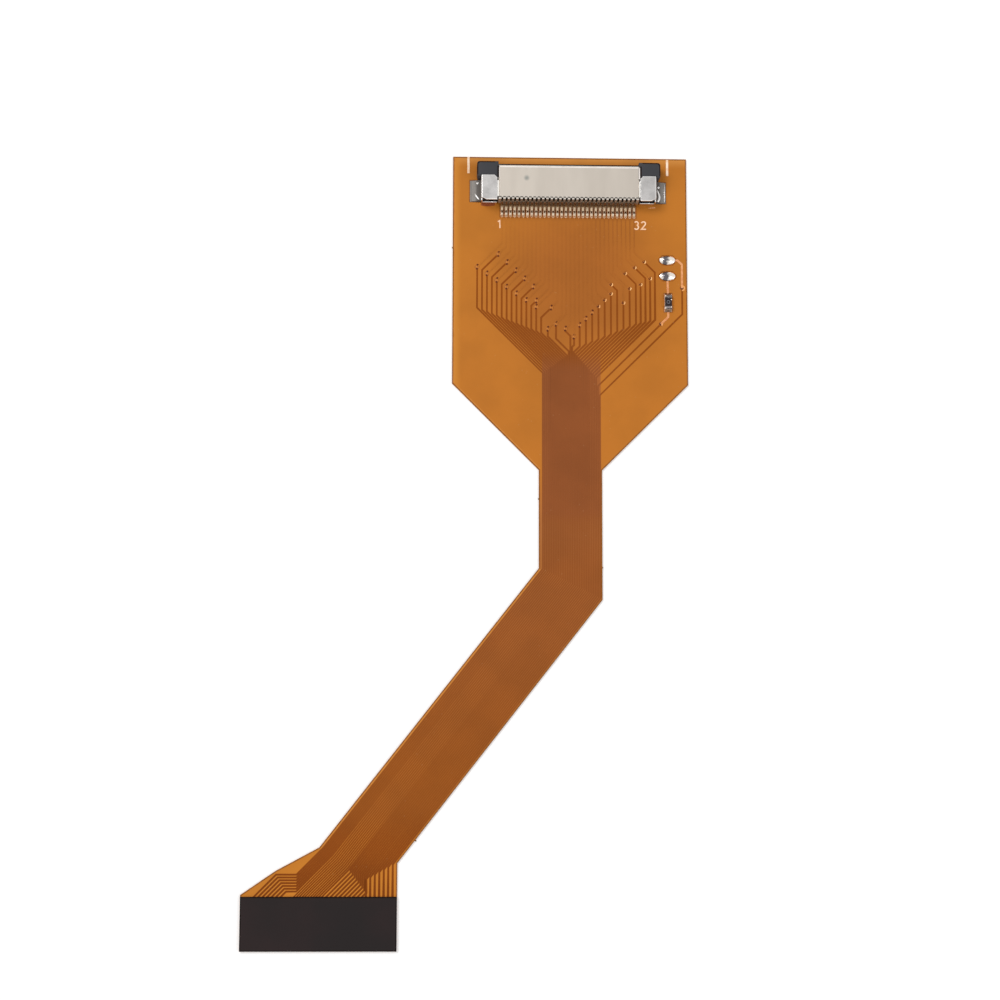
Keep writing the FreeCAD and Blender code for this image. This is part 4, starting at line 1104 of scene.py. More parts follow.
@dataclass
class FilmCircuit:
    """The two-sided film: its two covers and the copper lines under them."""

    # The heights and sides by which the front cover's ridges are told apart
    film_top: float = FILM_TOP
    low_ridge: float = 0.2
    step: float = 0.0005
    link_left: float = 22.0
    shown_pin_left: float = 14.6

    # How far the walls of the back lines' ridges move out, and the region of each share
    spread: float = 0.034
    head_spread: float = 0.05
    wing_spread: float = 0.062
    wing_low: float = 20.5
    wing_top: float = 26.6
    merged_spread: float = 0.078
    merged_band: Spot = (4.6, 6.2)
    flare_spread: float = 0.056
    flare_top: float = -34.2
    side_spread: float = 0.1
    side_left: float = -11.35
    side_top: float = -38.9
    tight_spread: float = 0.034
    tight_band: Spot = (20.0, 23.3)

    # The back cover's end at the tail and the height of its ribs
    cover_end: float = -41.8
    rib: float = 0.01

    def build(self) -> None:
        """Builds the two covers and dresses the film's nodes."""
        self.build_front()
        self.build_back()

    def spread_at(self, point: Point) -> float:
        """Says how much wider a line looks at a point, more in the head's wings and the flare.

        Args:
            point: A point of the line's wall.

        Returns:
            How far the wall moves out.
        """
        x, y, _ = point
        if y >= self.wing_top:
            return self.head_spread
        if y >= self.wing_low:
            is_merged = self.merged_band[0] < y - x < self.merged_band[1]
            return self.merged_spread if is_merged else self.wing_spread
        if y > self.flare_top:
            return self.spread
        if x > self.side_left and y < self.side_top:
            return self.side_spread
        is_tight = self.tight_band[0] < x - y < self.tight_band[1]
        return self.tight_spread if is_tight else self.flare_spread

    def build_front(self) -> None:
        """Parts the front cover into its flat face and the ridges over the copper."""
        sheet = AmberFinish(
            "amber_film",
            (
                (Zone.TAIL, (203, 126, 42)),
                (Zone.FLARE, (200, 123, 40)),
                (Zone.RIBBON, (182, 108, 42)),
                (Zone.BEND, (176, 106, 48)),
                (Zone.NECK, (178, 109, 55)),
                (Zone.HEAD, (193, 117, 40)),
                (Zone.BEHIND, (194, 119, 40)),
                # Lighter at the top: painted light on the strip behind the connector, in place of the
                # light the moulding's wall blocks
                (Zone.TOP, (214, 142, 66)),
            ),
            rim=(140, 80, 28),
            # Painted shadow among and behind the contacts
            shade=(118, 66, 24),
            flank=(206, 132, 48),
        ).build()
        dark = AmberFinish(
            "line_under_film",
            (
                (Zone.TAIL, (128, 60, 0)),
                (Zone.FLARE, (142, 71, 10)),
                (Zone.RIBBON, (150, 80, 20)),
                (Zone.BEND, (149, 81, 32)),
                (Zone.NECK, (149, 83, 36)),
                (Zone.HEAD, (144, 74, 12)),
                (Zone.TOP, (144, 70, 0)),
            ),
            heart=(146, 76, 18),
            core=(145, 80, 38),
            heart_place=(11.8, 19.0),
            heart_reach=12.0,
        ).build()
        faint = AmberFinish(
            "hidden_pin_line", ((Zone.HEAD, (193, 117, 40)), (Zone.TOP, (193, 118, 40)))
        ).build()
        shown = AmberFinish(
            "shown_pin_line", ((Zone.HOLES, (193, 117, 40)), (Zone.CONTACTS, (166, 97, 36)))
        ).build()
        copper = MetalFinish(
            "copper_under_film", (240, 168, 112), (222, 138, 78), (255, 226, 196),
            rough=(0.25, 0.4), metallic=0.5, cloud_scale=3000.0,
        ).build()
        flat = self.film_top + self.step
        low = self.low_ridge + self.step

        def top(corners: list[Point]) -> float:
            """Gives a face's highest point."""
            return max(corner[2] for corner in corners)

        def left(corners: list[Point]) -> float:
            """Gives a face's leftmost point."""
            return min(corner[0] for corner in corners)

        def pin_ridge(corners: list[Point], is_shown: bool) -> bool:
            """Says whether a face lies over a contact's line, one that shows or a hidden one."""
            over_pin = top(corners) >= low and left(corners) <= self.link_left
            return over_pin and (left(corners) > self.shown_pin_left) == is_shown

        face = make_piece("front_cover", copied("front_cover_film", lambda c: top(c) < flat), sheet)
        signals = copied("front_cover_film", lambda c: flat <= top(c) < low)
        make_piece("signal_line_ridges", widened(signals, self.spread_at), dark)
        for name, chosen, finish in (
            ("pin_line_ridges", lambda c: pin_ridge(c, False), faint),
            ("right_pin_line_ridges", lambda c: pin_ridge(c, True), shown),
            ("link_line_ridges", lambda c: top(c) >= low and left(c) > self.link_left, copper),
        ):
            make_piece(name, copied("front_cover_film", chosen), finish)
        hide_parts("front_cover_film")
        dress("base_film", sheet)
        for node in ("pin_lines", "link_lines", "via_barrels"):
            dress(node, copper)

    def build_back(self) -> None:
        """Lifts the back cover between the copper lines, which then stand out as ribs."""
        sheet = AmberFinish(
            "amber_film_back",
            (
                (Zone.TAIL, (190, 116, 36)),
                (Zone.RIBBON, (176, 102, 30)),
                (Zone.NECK, (172, 98, 32)),
                (Zone.HEAD, (192, 116, 34)),
            ),
            heart=(184, 108, 32),
            core=(172, 98, 32),
        ).build()
        ribs = MetalFinish(
            "copper_under_back", (206, 126, 58), (190, 110, 46), (232, 164, 98),
            rough=(0.32, 0.46), metallic=0.45, cloud_scale=500.0,
        ).build()
        gold = MetalFinish(
            "gold_plate", (226, 190, 116), (206, 166, 92), (250, 226, 168), rough=(0.18, 0.32)
        ).build()
        points, faces = copied("back_cover_film")
        points = [(x, y, max(z, self.rib)) for x, y, z in points]
        face = make_piece("back_cover", (points, faces), sheet)
        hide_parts("back_cover_film")
        low, high = (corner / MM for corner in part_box("signal_lines"))
        points, faces = copied("signal_lines")
        squash = self.rib / (high.z - low.z)
        lowered = [(x, max(y, self.cover_end), (z - low.z) * squash) for x, y, z in points]
        lines = make_piece("signal_line_ribs", (lowered, faces), ribs)
        dress("signal_lines", gold)


@dataclass
class PlatedHoles:
    """The marks of the plated holes: raised rims, with painted shade and painted copper highlights.
    """

    # Each profile lists radii and heights, from its foot inwards
    rim: tuple[Spot, ...] = ((0.28, 0.19), (0.25, 0.204), (0.2, 0.207), (0.17, 0.203), (0.14, 0.19))
    dot: tuple[Spot, ...] = ((0.14, 0.19), (0.12, 0.208), (0.07, 0.2095), (0.0, 0.2095))
    dot_sides: int = 10
    # Painted shade: dark dots below and above each left hole
    near_dot: Spot = (-0.03, -0.2)
    far_dot: Spot = (0.05, 0.24)
    # Painted shade in each right hole's dimple; the same profile carries a soft painted highlight
    # over each left hole
    hollow: tuple[Spot, ...] = ((0.21, 0.191), (0.17, 0.2062), (0.06, 0.208), (0.0, 0.208))
    hollow_aside: float = -0.03
    bright_from: float = 14.9
    # Painted highlights: a bright crescent beside each right hole, and a ring round the last
    glint: tuple[Spot, ...] = (
        (0.27, 0.192), (0.23, 0.2095), (0.17, 0.211), (0.12, 0.2095), (0.1, 0.2)
    )
    glint_turn: tuple[float, float, int] = (-75, 120, 8)
    ring: tuple[Spot, ...] = (
        (0.36, 0.19), (0.34, 0.208), (0.27, 0.214), (0.2, 0.212), (0.19, 0.2)
    )
    ring_turn: tuple[float, float, int] = (-95, 190, 12)

    def places(self) -> list[Spot]:
        """Finds the middle of every plated hole.

        Returns:
            Their places from above, in millimetres.
        """
        points, faces = copied("via_barrels")
        group = list(range(len(points)))

        def head(item: int) -> int:
            """Follows a point to the first one of its group.

            Args:
                item: The point's number.

            Returns:
                The first point's number.
            """
            while group[item] != item:
                item = group[item]
            return item

        for face in faces:
            for corner in face[1:]:
                group[head(corner)] = head(face[0])
        members: dict[int, list[Point]] = {}
        for item, point in enumerate(points):
            members.setdefault(head(item), []).append(point)
        places = []
        for ring in members.values():
            xs, ys = [point[0] for point in ring], [point[1] for point in ring]
            places.append(((min(xs) + max(xs)) / 2, (min(ys) + max(ys)) / 2))
        return sorted(places)

    def build(self) -> None:
        """Raises the film over each plated hole, with painted shade and a painted copper highlight.
        """
        amber = PlasticFinish("hole_rim", (176, 102, 32), (160, 90, 26), (186, 112, 40)).build()
        dark = PlasticFinish("hole_shade", (106, 44, 0), (92, 38, 0), (116, 50, 4)).build()
        bright_highlight = PlasticFinish(
            "hole_glint", (252, 194, 128), (240, 166, 98), (255, 206, 146)
        ).build()
        soft_highlight = PlasticFinish(
            "hole_soft_glint", (198, 124, 56), (188, 114, 46), (204, 132, 64)
        ).build()
        places = self.places()
        left = [place for place in places if place[0] < self.bright_from]
        right = [place for place in places if place[0] >= self.bright_from]
        shades = [turned((x + self.hollow_aside, y), self.hollow) for x, y in right]
        for x, y in left:
            for aside, along in (self.near_dot, self.far_dot):
                shades.append(turned((x + aside, y + along), self.dot, sides=self.dot_sides))
        rims = [turned(place, self.rim) for place in places]
        glints = [turned(place, self.glint, *self.glint_turn) for place in right[:-1]]
        glints.append(turned(right[-1], self.ring, *self.ring_turn))
        soft_glints = [turned(place, self.hollow) for place in left]
        make_piece("hole_rims", joined(rims), amber, True)
        make_piece("hole_shades", joined(shades), dark, True)
        make_piece("bright_hole_glints", joined(glints), bright_highlight, True)
        make_piece("soft_hole_glints", joined(soft_glints), soft_highlight, True)


@dataclass
class PrintedMarks:
    """The white end marks beside the connector and the numbers of its end contacts."""

    ink_low: float = FILM_TOP
    ink_high: float = 0.222
    ink_step: float = 0.0004
    bars: tuple[tuple[Spot, Spot], ...] = (
        ((-0.225, 43.72), (-0.225, 45.69)),
        ((23.135, 43.66), (23.135, 45.6)),
    )
    bar_wide: float = 0.27
    digit_wide: float = 0.15
    one: tuple[Spot, ...] = ((3.25, 37.92), (3.46, 38.05), (3.48, 37.16))
    three: tuple[Arc, Arc] = (
        Arc((19.47, 37.88), 0.22, 0.23, 150, -80),
        Arc((19.47, 37.43), 0.25, 0.25, 80, -150),
    )
    two: Arc = Arc((20.3, 37.87), 0.24, 0.23, 165, -40)
    two_foot: tuple[Spot, Spot] = ((20.06, 37.2), (20.6, 37.2))

    def build(self) -> None:
        """Prints the two bars, then the numbers stroke by stroke."""
        white = InkFinish("white_ink", (255, 232, 208), (246, 204, 166)).build()
        warm = InkFinish("number_ink", (255, 216, 180), (246, 190, 146)).build()
        bars = [stroke(bar, self.bar_wide, self.ink_low, self.ink_high) for bar in self.bars]
        make_piece("end_marks", joined(bars), white)
        upper, lower = (arc.spots() for arc in self.three)
        paths = (self.one, upper, lower, [*self.two.spots(), *self.two_foot])
        digits = [
            stroke(path, self.digit_wide, self.ink_low, self.ink_high + self.ink_step * place)
            for place, path in enumerate(paths)
        ]
        make_piece("contact_numbers", joined(digits), warm)


@dataclass
class FilmEdges:
    """The film's sheared edge, with the stubs where it was broken out of its panel."""

    film_top: float = FILM_TOP
    burr: tuple[Spot, ...] = ((0.09, 0.03), (0.1, 0.1), (0.07, 0.17), (0.0, 0.18))
    burr_turn: float = 20.0
    burr_sides: int = 7
    burrs: tuple[Spot, ...] = (
        (-2.03, 34.8), (8.02, 5.3), (15.33, -2.6), (-4.02, -18.4), (-5.85, -33.5)
    )
    sheared: Strip = Strip(0.12, 0.075, 0.003)
    head_light: Strip = Strip(0.13, 0.2, 0.002)
    head_corners: tuple[int, ...] = (4, 5, 6)
    ribbon_light: Strip = Strip(0.14, 0.205, 0.002)
    ribbon_corners: tuple[int, ...] = (2, 3)
    edge_gap: float = 0.01

    def build(self) -> None:
        """Builds the stubs and the lines along the edge."""
        self.build_burrs()
        self.build_edges()

    def outline(self) -> list[Spot]:
        """Walks round the film's edge.

        Returns:
            Its corners from above, clockwise from the tail's left one.
        """
        points, faces = copied("base_film")
        after: dict[Spot, Spot] = {}
        for face in faces:
            normal = facing(points, face)
            spots = sorted({points[corner][:2] for corner in face})
            if abs(normal.z) < UPRIGHT and len(spots) == 2:
                first, second = spots
                run = Vector(second) - Vector(first)
                if run.x * normal.y - run.y * normal.x < 0:
                    first, second = second, first
                after[first] = second
        start = min(after)
        walk = [start]
        while after[walk[-1]] != start:
            walk.append(after[walk[-1]])
        return walk

    def build_burrs(self) -> None:
        """Leaves the small broken stubs on the edge."""
        finish = PlasticFinish("film_burr", (104, 66, 28), (84, 52, 22), (150, 100, 48)).build()
        turn, sides = self.burr_turn, self.burr_sides
        stubs = [turned(place, self.burr, start=turn, sides=sides) for place in self.burrs]
        make_piece("edge_burrs", joined(stubs), finish)

    def build_edges(self) -> None:
        """Draws the sheared edge of the film: a dark line, and a lighter one beside it."""
        dark = InkFinish("sheared_edge", (150, 92, 36), (134, 80, 28), shine=0.1).build()
        light = InkFinish("edge_light", (208, 134, 60), (200, 126, 52), shine=0.12).build()
        start = Zone.TAIL.value
        walk = [spot for spot in self.outline() if spot[1] > start]
        ends = [(spot[0], start + self.edge_gap) for spot in (walk[0], walk[-1])]
        whole = [ends[0], *walk, ends[1]]
        make_piece("sheared_edges", self.sheared.along(whole, self.film_top), dark)
        lit = ((self.head_corners, self.head_light), (self.ribbon_corners, self.ribbon_light))
        lights = [
            strip.along([walk[corner] for corner in corners], self.film_top)
            for corners, strip in lit
        ]
        make_piece("edge_lights", joined(lights), light)


@dataclass
class Stiffener:
    """The black film that backs the contact fingers on the tail."""

    rim: Strip = Strip(0.12, 0.07, 0.004)
    rim_sunk: float = 0.001

    def build(self) -> None:
        """Dresses the stiffener and darkens its rim."""
        black = PlasticFinish(
            "black_stiffener", (36, 31, 31), (43, 33, 33), (16, 13, 13),
            rough=(0.5, 0.65), shine=0.12, dust=0.0, cloud_scale=95.0,
        ).build()
        dress("tail_stiffener", black)
        rim = InkFinish("stiffener_rim_black", (24, 18, 17), (32, 25, 24), shine=0.04).build()
        low, high = (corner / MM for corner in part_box("tail_stiffener"))
        loop = [(low.x, low.y), (low.x, high.y), (high.x, high.y), (high.x, low.y), (low.x, low.y)]
        make_piece("stiffener_rim", self.rim.along(loop, high.z - self.rim_sunk), rim)


@dataclass
class Connector:
    """The connector on the head: moulding, plate, brackets, contacts and their solder."""

    middle: float = MIDDLE
    rounding: float = 0.03
    weld: float = 0.002
    segments: int = 2

    def build(self) -> None:
        """Gives each node its finish and softens the sheet metal's edges."""
        plastic = PlasticFinish(
            "black_moulding", (56, 57, 61), (64, 63, 67), (30, 25, 28),
            rough=(0.4, 0.55), dust=0.05, reach=0.0002,
        ).build()
        plate = MetalFinish(
            "cover_plate", (198, 189, 178), (193, 184, 173), (236, 231, 224),
            rough=(0.34, 0.46), cloud_scale=420.0, brushed=True, spot=(6.53, 42.72),
            # Painted highlight on the plate's folded sides, which turn darker above row 42.35
            ends=(self.middle, 8.17), ends_top=42.35, reach=0.00012,
        ).build()
        bright = MetalFinish(
            "bracket_sheet",
            # Painted highlight on the front lip, below row 40.16
            ((40.16, (255, 250, 244)), (40.24, (206, 203, 201))),
            None,
            (255, 255, 253),
            rough=(0.22, 0.36), reach=0.00014,
            # Painted highlight on the outer folds, beyond 10.02 from the middle
            ends=(self.middle, 10.02), ends_tone=(216, 213, 211), ends_soft=0.03,
        ).build()
        tin = MetalFinish(
            "tinned_contact",
            # Painted light and shade along each contact: shade in its bend, a highlight on its flat
            # top, shade on its riser under the plate
            (
                (39.0, (76, 46, 24)),
                (39.26, (80, 50, 26)),
                (39.33, (230, 204, 170)),
                (39.66, (230, 206, 174)),
                (39.78, (146, 120, 90)),
                (40.4, (150, 130, 104)),
            ),
            None,
            (244, 222, 196),
            rough=(0.2, 0.34), cloud_scale=2200.0,
        ).build()
        toes = MetalFinish(
            "toe_solder",
            # Painted light and shade on the toes: a highlight on the solder, shade from the bend back
            # towards the moulding
            (
                (38.64, (150, 90, 38)),
                (38.76, (222, 196, 166)),
                (38.96, (240, 222, 198)),
                (39.02, (80, 50, 26)),
                (39.9, (150, 124, 92)),
            ),
            None,
            (238, 212, 180),
            rough=(0.2, 0.34), cloud_scale=2600.0, metallic=0.6,
        ).build()
        foot = MetalFinish(
            "foot_solder", (88, 82, 77), (68, 62, 58), (150, 143, 136),
            rough=(0.55, 0.68), cloud_scale=1500.0, metallic=0.15, brushed=True,
            ends=(self.middle, 10.62), ends_tone=(132, 127, 122), ends_soft=0.3,
        ).build()
        finishes = {
            "connector_housing": plastic,
            "connector_shell": plate,
            "connector_contacts": tin,
            "contact_solder": toes,
            "left_bracket": bright,
            "right_bracket": bright,
            "left_bracket_solder": foot,
            "right_bracket_solder": foot,
            "bracket_pads": foot,
        }
        for node, finish in finishes.items():
            dress(node, finish)
        for node in ("connector_shell", "left_bracket", "right_bracket", "connector_housing"):
            self.soften(node)

    def soften(self, node: str) -> None:
        """Rounds a node's sharp edges a little with modifiers.

        Args:
            node: The node's name.
        """
        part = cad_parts[node]
        weld = part.modifiers.new("weld", "WELD")
        weld.merge_threshold = self.weld * MM
        bevel = part.modifiers.new("bevel", "BEVEL")
        bevel.width = self.rounding * MM
        bevel.segments = self.segments
        bevel.limit_method = "ANGLE"
        bevel.harden_normals = True


@dataclass
class Comb:
    """The comb along the cover plate's front: painted shade on its bends, and the roots of its gaps.
    """

    middle: float = MIDDLE
    pitch: float = 0.5
    teeth: int = 31
    plate_top: float = PLATE_TOP
    bend_row: float = 40.45
    bend_half: float = 0.15
    bend_wide: float = 0.13
    bend_thick: float = 0.004
    lip_long: float = 0.42
    root_rows: tuple[float, ...] = (40.52, 40.44, 40.4, 40.375)
    root_wides: tuple[float, ...] = (0.25, 0.25, 0.2, 0.1)
    root_sunk: float = 0.05
    root_thick: float = 0.044

    def build(self) -> None:
        """Paints shade on the bends, then rounds the roots."""
        self.build_bends()
        self.build_roots()

    def build_bends(self) -> None:
        """Paints shade on the bend at the root of every tooth of the plate's comb and of its end
        lips.
        """
        shade = MetalFinish(
            "bend_shade", (84, 79, 75), (72, 67, 63), (110, 104, 98),
            rough=(0.4, 0.55), metallic=0.5,
        ).build()
        half = self.bend_half
        first = self.middle - (self.teeth - 1) * self.pitch / 2
        teeth = [first + tooth * self.pitch for tooth in range(self.teeth)]
        spans = [(x - half, x + half) for x in teeth]
        lip = (self.teeth + 1) * self.pitch / 2 - half
        for side in (-1, 1):
            spans.append((self.middle + side * lip, self.middle + side * (lip + self.lip_long)))
        low, high = self.plate_top, self.plate_top + self.bend_thick
        rows = [
            stroke([(start, self.bend_row), (end, self.bend_row)], self.bend_wide, low, high)
            for start, end in spans
        ]
        make_piece("comb_bend_shades", joined(rows), shade)

    def build_roots(self) -> None:
        """Rounds the root of every gap of the plate's comb."""
        sheet = MetalFinish(
            "comb_root", (196, 188, 178), (178, 170, 160), (232, 226, 218), rough=(0.3, 0.42)
        ).build()
        first = self.middle - self.teeth * self.pitch / 2
        low = self.plate_top - self.root_sunk
        roots = []
        for gap in range(self.teeth + 1):
            path = [(first + gap * self.pitch, row, low) for row in self.root_rows]
            roots.append(bead(path, self.root_wides, self.root_thick))
        make_piece("comb_roots", joined(roots), sheet)


@dataclass
class BracketFeet:
    """Painted highlights at the brackets' feet: crescents and blobs on the solder, and lines on the
    lips.
    """

    middle: float = MIDDLE
    wall: float = 10.2
    foot: float = 1.0
    crest: float = 0.76
    toe: float = 0.31
    hollow: float = 0.42
    crescent_sunk: float = 0.03
    crescent_thick: float = 0.07

    # Each run lists distances out from the bracket's wall, rows and widths
    left_crescent: tuple[Point, ...] = (
        (0.7, 41.2, 0.08),
        (0.62, 41.02, 0.16),
        (0.5, 40.82, 0.2),
        (0.36, 40.62, 0.2),
        (0.24, 40.44, 0.12),
    )
    right_crescent: tuple[Point, ...] = (
        (0.2, 41.9, 0.07),
        (0.36, 41.6, 0.14),
        (0.47, 41.25, 0.24),
        (0.5, 40.92, 0.3),
        (0.42, 40.62, 0.3),
        (0.3, 40.4, 0.22),
    )
    right_rim: tuple[Point, ...] = ((1.13, 42.6, 0.08), (1.14, 41.5, 0.1), (1.13, 40.45, 0.1))

    # The blob's profile lists radii and heights over the solder
    blob: tuple[Spot, ...] = ((0.15, -0.056), (0.14, 0.034), (0.08, 0.054), (0.0, 0.054))
    blob_out: float = 0.4
    blob_rows: Spot = (42.42, 42.14)
    blob_sides: int = 12
    lip: tuple[Spot, ...] = ((1.5, 40.17), (2.2, 40.165), (3.05, 40.17))
    lip_low: float = 0.768
    lip_wides: tuple[float, ...] = (0.08, 0.12, 0.1)
    lip_thick: float = 0.006

    def fillet_height(self, out: float) -> float:
        """Gives the height of a foot's solder.

        Args:
            out: The distance out from the bracket's wall.

        Returns:
            The solder's height there.
        """
        mid = self.toe + (self.crest - self.toe) * self.hollow
        share = out / self.foot
        if share < self.hollow:
            return self.crest + (mid - self.crest) * share / self.hollow
        return mid + (self.toe - mid) * (share - self.hollow) / (1 - self.hollow)

    def build(self) -> None:
        """Lays painted highlights, crescents and blobs, on the solder of the brackets' feet, and on
        their lips.
        """
        shine = MetalFinish(
            "crescent_shine", (250, 248, 246), (238, 234, 230), (255, 255, 255),
            rough=(0.1, 0.2), metallic=0.5,
        ).build()
        glints = []
        runs = ((-1, self.left_crescent), (1, self.right_crescent), (1, self.right_rim))
        for side, run in runs:
            path = []
            for out, y, _ in run:
                low = self.fillet_height(out) - self.crescent_sunk
                path.append((self.middle + side * (self.wall + out), y, low))
            glints.append(bead(path, [width for _, _, width in run], self.crescent_thick))
        base = self.fillet_height(self.blob_out)
        blob = [(radius, base + rise) for radius, rise in self.blob]
        for side, row in zip((-1, 1), self.blob_rows):
            place = (self.middle + side * (self.wall + self.blob_out), row)
            glints.append(turned(place, blob, sides=self.blob_sides))
            lip = [(self.middle + side * (self.middle - x), y, self.lip_low) for x, y in self.lip]
            glints.append(bead(lip, self.lip_wides, self.lip_thick))
        make_piece("foot_highlights", joined(glints), shine, True)


@dataclass
class FilmPatches:
    """The painted shadow before the left bracket and the bare streak before the right."""

    patch_parts: tuple[float, ...] = (-1, -0.8, -0.3, 0.3, 0.8, 1)
    patch_low: float = 0.187
    patch_thick: float = 0.008
    shadow_place: Spot = (2.07, 39.98)
    shadow_reach: Spot = (0.86, 0.02)
    shadow_wides: tuple[float, ...] = (0.1, 0.3, 0.42, 0.4, 0.28, 0.1)
    streak_place: Spot = (21.3, 39.78)
    streak_reach: Spot = (0.42, 0.04)
    streak_wides: tuple[float, ...] = (0.04, 0.07, 0.09, 0.12, 0.14, 0.08)

    def build(self) -> None:
        """Lays both patches on the film, each with its own widths."""
        # Painted shadow on the film under the left bracket's lip
        painted_shadow = PlasticFinish("bracket_shadow", (142, 68, 32), (156, 84, 38), (150, 78, 36)).build()
        bare = PlasticFinish(
            "bare_copper", (236, 170, 120), (222, 150, 96), (244, 190, 148)
        ).build()
        for name, finish, (x, y), (across, rise), wides in (
            ("bracket_shadow", painted_shadow, self.shadow_place, self.shadow_reach, self.shadow_wides),
            ("bare_streak", bare, self.streak_place, self.streak_reach, self.streak_wides),
        ):
            parts = self.patch_parts
            path = [(x + across * part, y + rise * part, self.patch_low) for part in parts]
            make_piece(name, bead(path, wides, self.patch_thick), finish)


@dataclass
class PlateGapsAndEdges:
    """The painted shadows in the gaps around the cover plate and the end blocks, and the painted
    highlights on the plate's edges.
    """

    middle: float = MIDDLE
    plate_top: float = PLATE_TOP
    block_top: float = 1.91
    shelf_top: float = 1.85
    mark_thick: float = 0.003
    back_gap: tuple[Spot, ...] = ((3.4, 44.3), (19.5, 44.3))
    back_gap_wide: float = 0.19
    left_gap: tuple[Spot, ...] = ((3.215, 42.75), (3.215, 44.16))
    right_gap: tuple[Spot, ...] = ((19.88, 42.75), (19.88, 44.25))
    side_gap_wide: float = 0.17
    block_rim: tuple[Spot, ...] = ((10.63, 43.1), (10.63, 44.4), (10.4, 44.63), (8.6, 44.63))
    block_rim_wide: float = 0.12
    plate_edge_highlights: tuple[tuple[Spot, Spot], ...] = (
        ((3.355, 44.05), (19.675, 44.05)),
        ((3.355, 44.05), (3.355, 42.75)),
        ((19.675, 44.05), (19.675, 42.7)),
    )
    plate_edge_wides: tuple[float, ...] = (0.14, 0.07, 0.16)

    def build(self) -> None:
        """Paints the shadows in the gaps, then the highlights on the edges."""
        black = InkFinish("gap_shadow_ink", (30, 22, 20), (42, 30, 26), shine=0.03).build()
        shine = MetalFinish(
            "plate_edge_shine", (240, 232, 226), (228, 218, 210), (255, 252, 248),
            rough=(0.3, 0.4), metallic=0.6,
        ).build()
        marks = [
            (self.back_gap, self.back_gap_wide, self.shelf_top),
            (self.left_gap, self.side_gap_wide, self.plate_top),
            (self.right_gap, self.side_gap_wide, self.block_top),
        ]
        for side in (-1, 1):
            rim = [(self.middle + side * x, y) for x, y in self.block_rim]
            marks.append((rim, self.block_rim_wide, self.block_top))
        shadow_strokes = [stroke(path, wide, low, low + self.mark_thick) for path, wide, low in marks]
        make_piece("plate_gap_shadows", joined(shadow_strokes), black)
        low, high = self.plate_top, self.plate_top + self.mark_thick
        edges = [
            stroke(path, wide, low, high)
            for path, wide in zip(self.plate_edge_highlights, self.plate_edge_wides)
        ]
        make_piece("plate_edge_highlights", joined(edges), shine)


@dataclass
class FrontWall:
    """Painted light on the moulding's front wall, where the contacts come out."""

    front_deep: float = 0.01
    front_shift: float = 0.006

    def build(self) -> None:
        """Lays a lighter face over the wall: painted light, reflected onto it from the contacts and
        the film.
        """
        wall = PlasticFinish(
            "painted_wall_light", (168, 148, 128), (144, 124, 106), (132, 112, 94)
        ).build()
        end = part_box("connector_housing")[0].y / MM + self.front_deep

        def is_front(corners: list[Point]) -> bool:
            """Says whether a face lies in the front wall."""
            return all(corner[1] < end for corner in corners)

        points, faces = copied("connector_housing", is_front)
        points = [(x, y - self.front_shift, z) for x, y, z in points]
        make_piece("housing_front", (points, faces), wall)


@dataclass
class Jumpers:
    """The two solder blobs beside the connector."""

    band_middle: float = 22.84
    band_half: float = 0.46

    def build(self) -> None:
        """Dresses the blobs."""
        finish = SolderFinish(
            "jumper_solder", (252, 244, 234), (110, 106, 110), self.band_middle, self.band_half
        ).build()
        for node in ("upper_jumper_solder", "lower_jumper_solder"):
            dress(node, finish)


@dataclass
class Chip:
    """The chip resistor below the jumpers."""

    middle: Spot = (23.125, 28.45)
    coat_top: float = 0.63
    drop: tuple[Spot, ...] = ((0.08, 0.6), (0.075, 0.645), (0.04, 0.66), (0.0, 0.66))
    # Painted highlights at the corners of the chip's solder
    glints: tuple[Spot, ...] = ((22.8, 29.17), (22.8, 27.73), (23.46, 27.84), (23.47, 28.72))
    drop_sides: int = 8
    mark: tuple[Spot, ...] = ((0.21, 0.0), (0.21, 0.006), (0.13, 0.006), (0.13, 0.0))
    mark_sides: int = 24
    # Bands across the caps: painted highlights and painted shade on their metal
    upper_bands: Bands = (
        (29.0, (62, 56, 56)),
        (29.08, (150, 144, 142)),
        (29.16, (84, 78, 76)),
        (29.3, (92, 80, 76)),
        (29.5, (160, 146, 136)),
    )
    lower_bands: Bands = (
        (27.35, (160, 128, 106)),
        (27.45, (70, 50, 46)),
        (27.74, (58, 42, 40)),
        (27.8, (190, 178, 176)),
        (27.92, (88, 76, 76)),
    )

    def build(self) -> None:
        """Dresses the chip, paints highlights on its corners and prints the ring on its coat."""
        ceramic = PlasticFinish(
            "white_ceramic", (222, 220, 214), (206, 203, 196), (238, 236, 232), rough=(0.5, 0.65)
        ).build()
        coat = PlasticFinish(
            "black_coat", (34, 24, 28), (44, 33, 36), (64, 54, 58), rough=(0.3, 0.45)
        ).build()
        solder = MetalFinish(
            "chip_joint", (170, 146, 128), (116, 84, 64), (236, 220, 204),
            rough=(0.2, 0.32), cloud_scale=2600.0,
        ).build()
        grey = InkFinish("grey_ink", (118, 118, 124), (96, 96, 102)).build()
        shine = MetalFinish(
            "chip_glint", (255, 240, 222), (250, 224, 196), (255, 248, 240), metallic=0.4
        ).build()
        for side, bands in (("upper", self.upper_bands), ("lower", self.lower_bands)):
            cap = MetalFinish(
                f"{side}_cap", bands, None, (236, 234, 234),
                rough=(0.2, 0.32), metallic=0.4, cloud_scale=2600.0,
            ).build()
            dress(f"chip_{side}_cap", cap)
        dress("chip_ceramic", ceramic)
        dress("chip_coat", coat)
        dress("chip_solder", solder)
        drops = [turned(place, self.drop, sides=self.drop_sides) for place in self.glints]
        make_piece("chip_glints", joined(drops), shine, True)
        ring = [(radius, self.coat_top + rise) for radius, rise in self.mark]
        make_piece("chip_ring", turned(self.middle, ring, sides=self.mark_sides), grey, True)


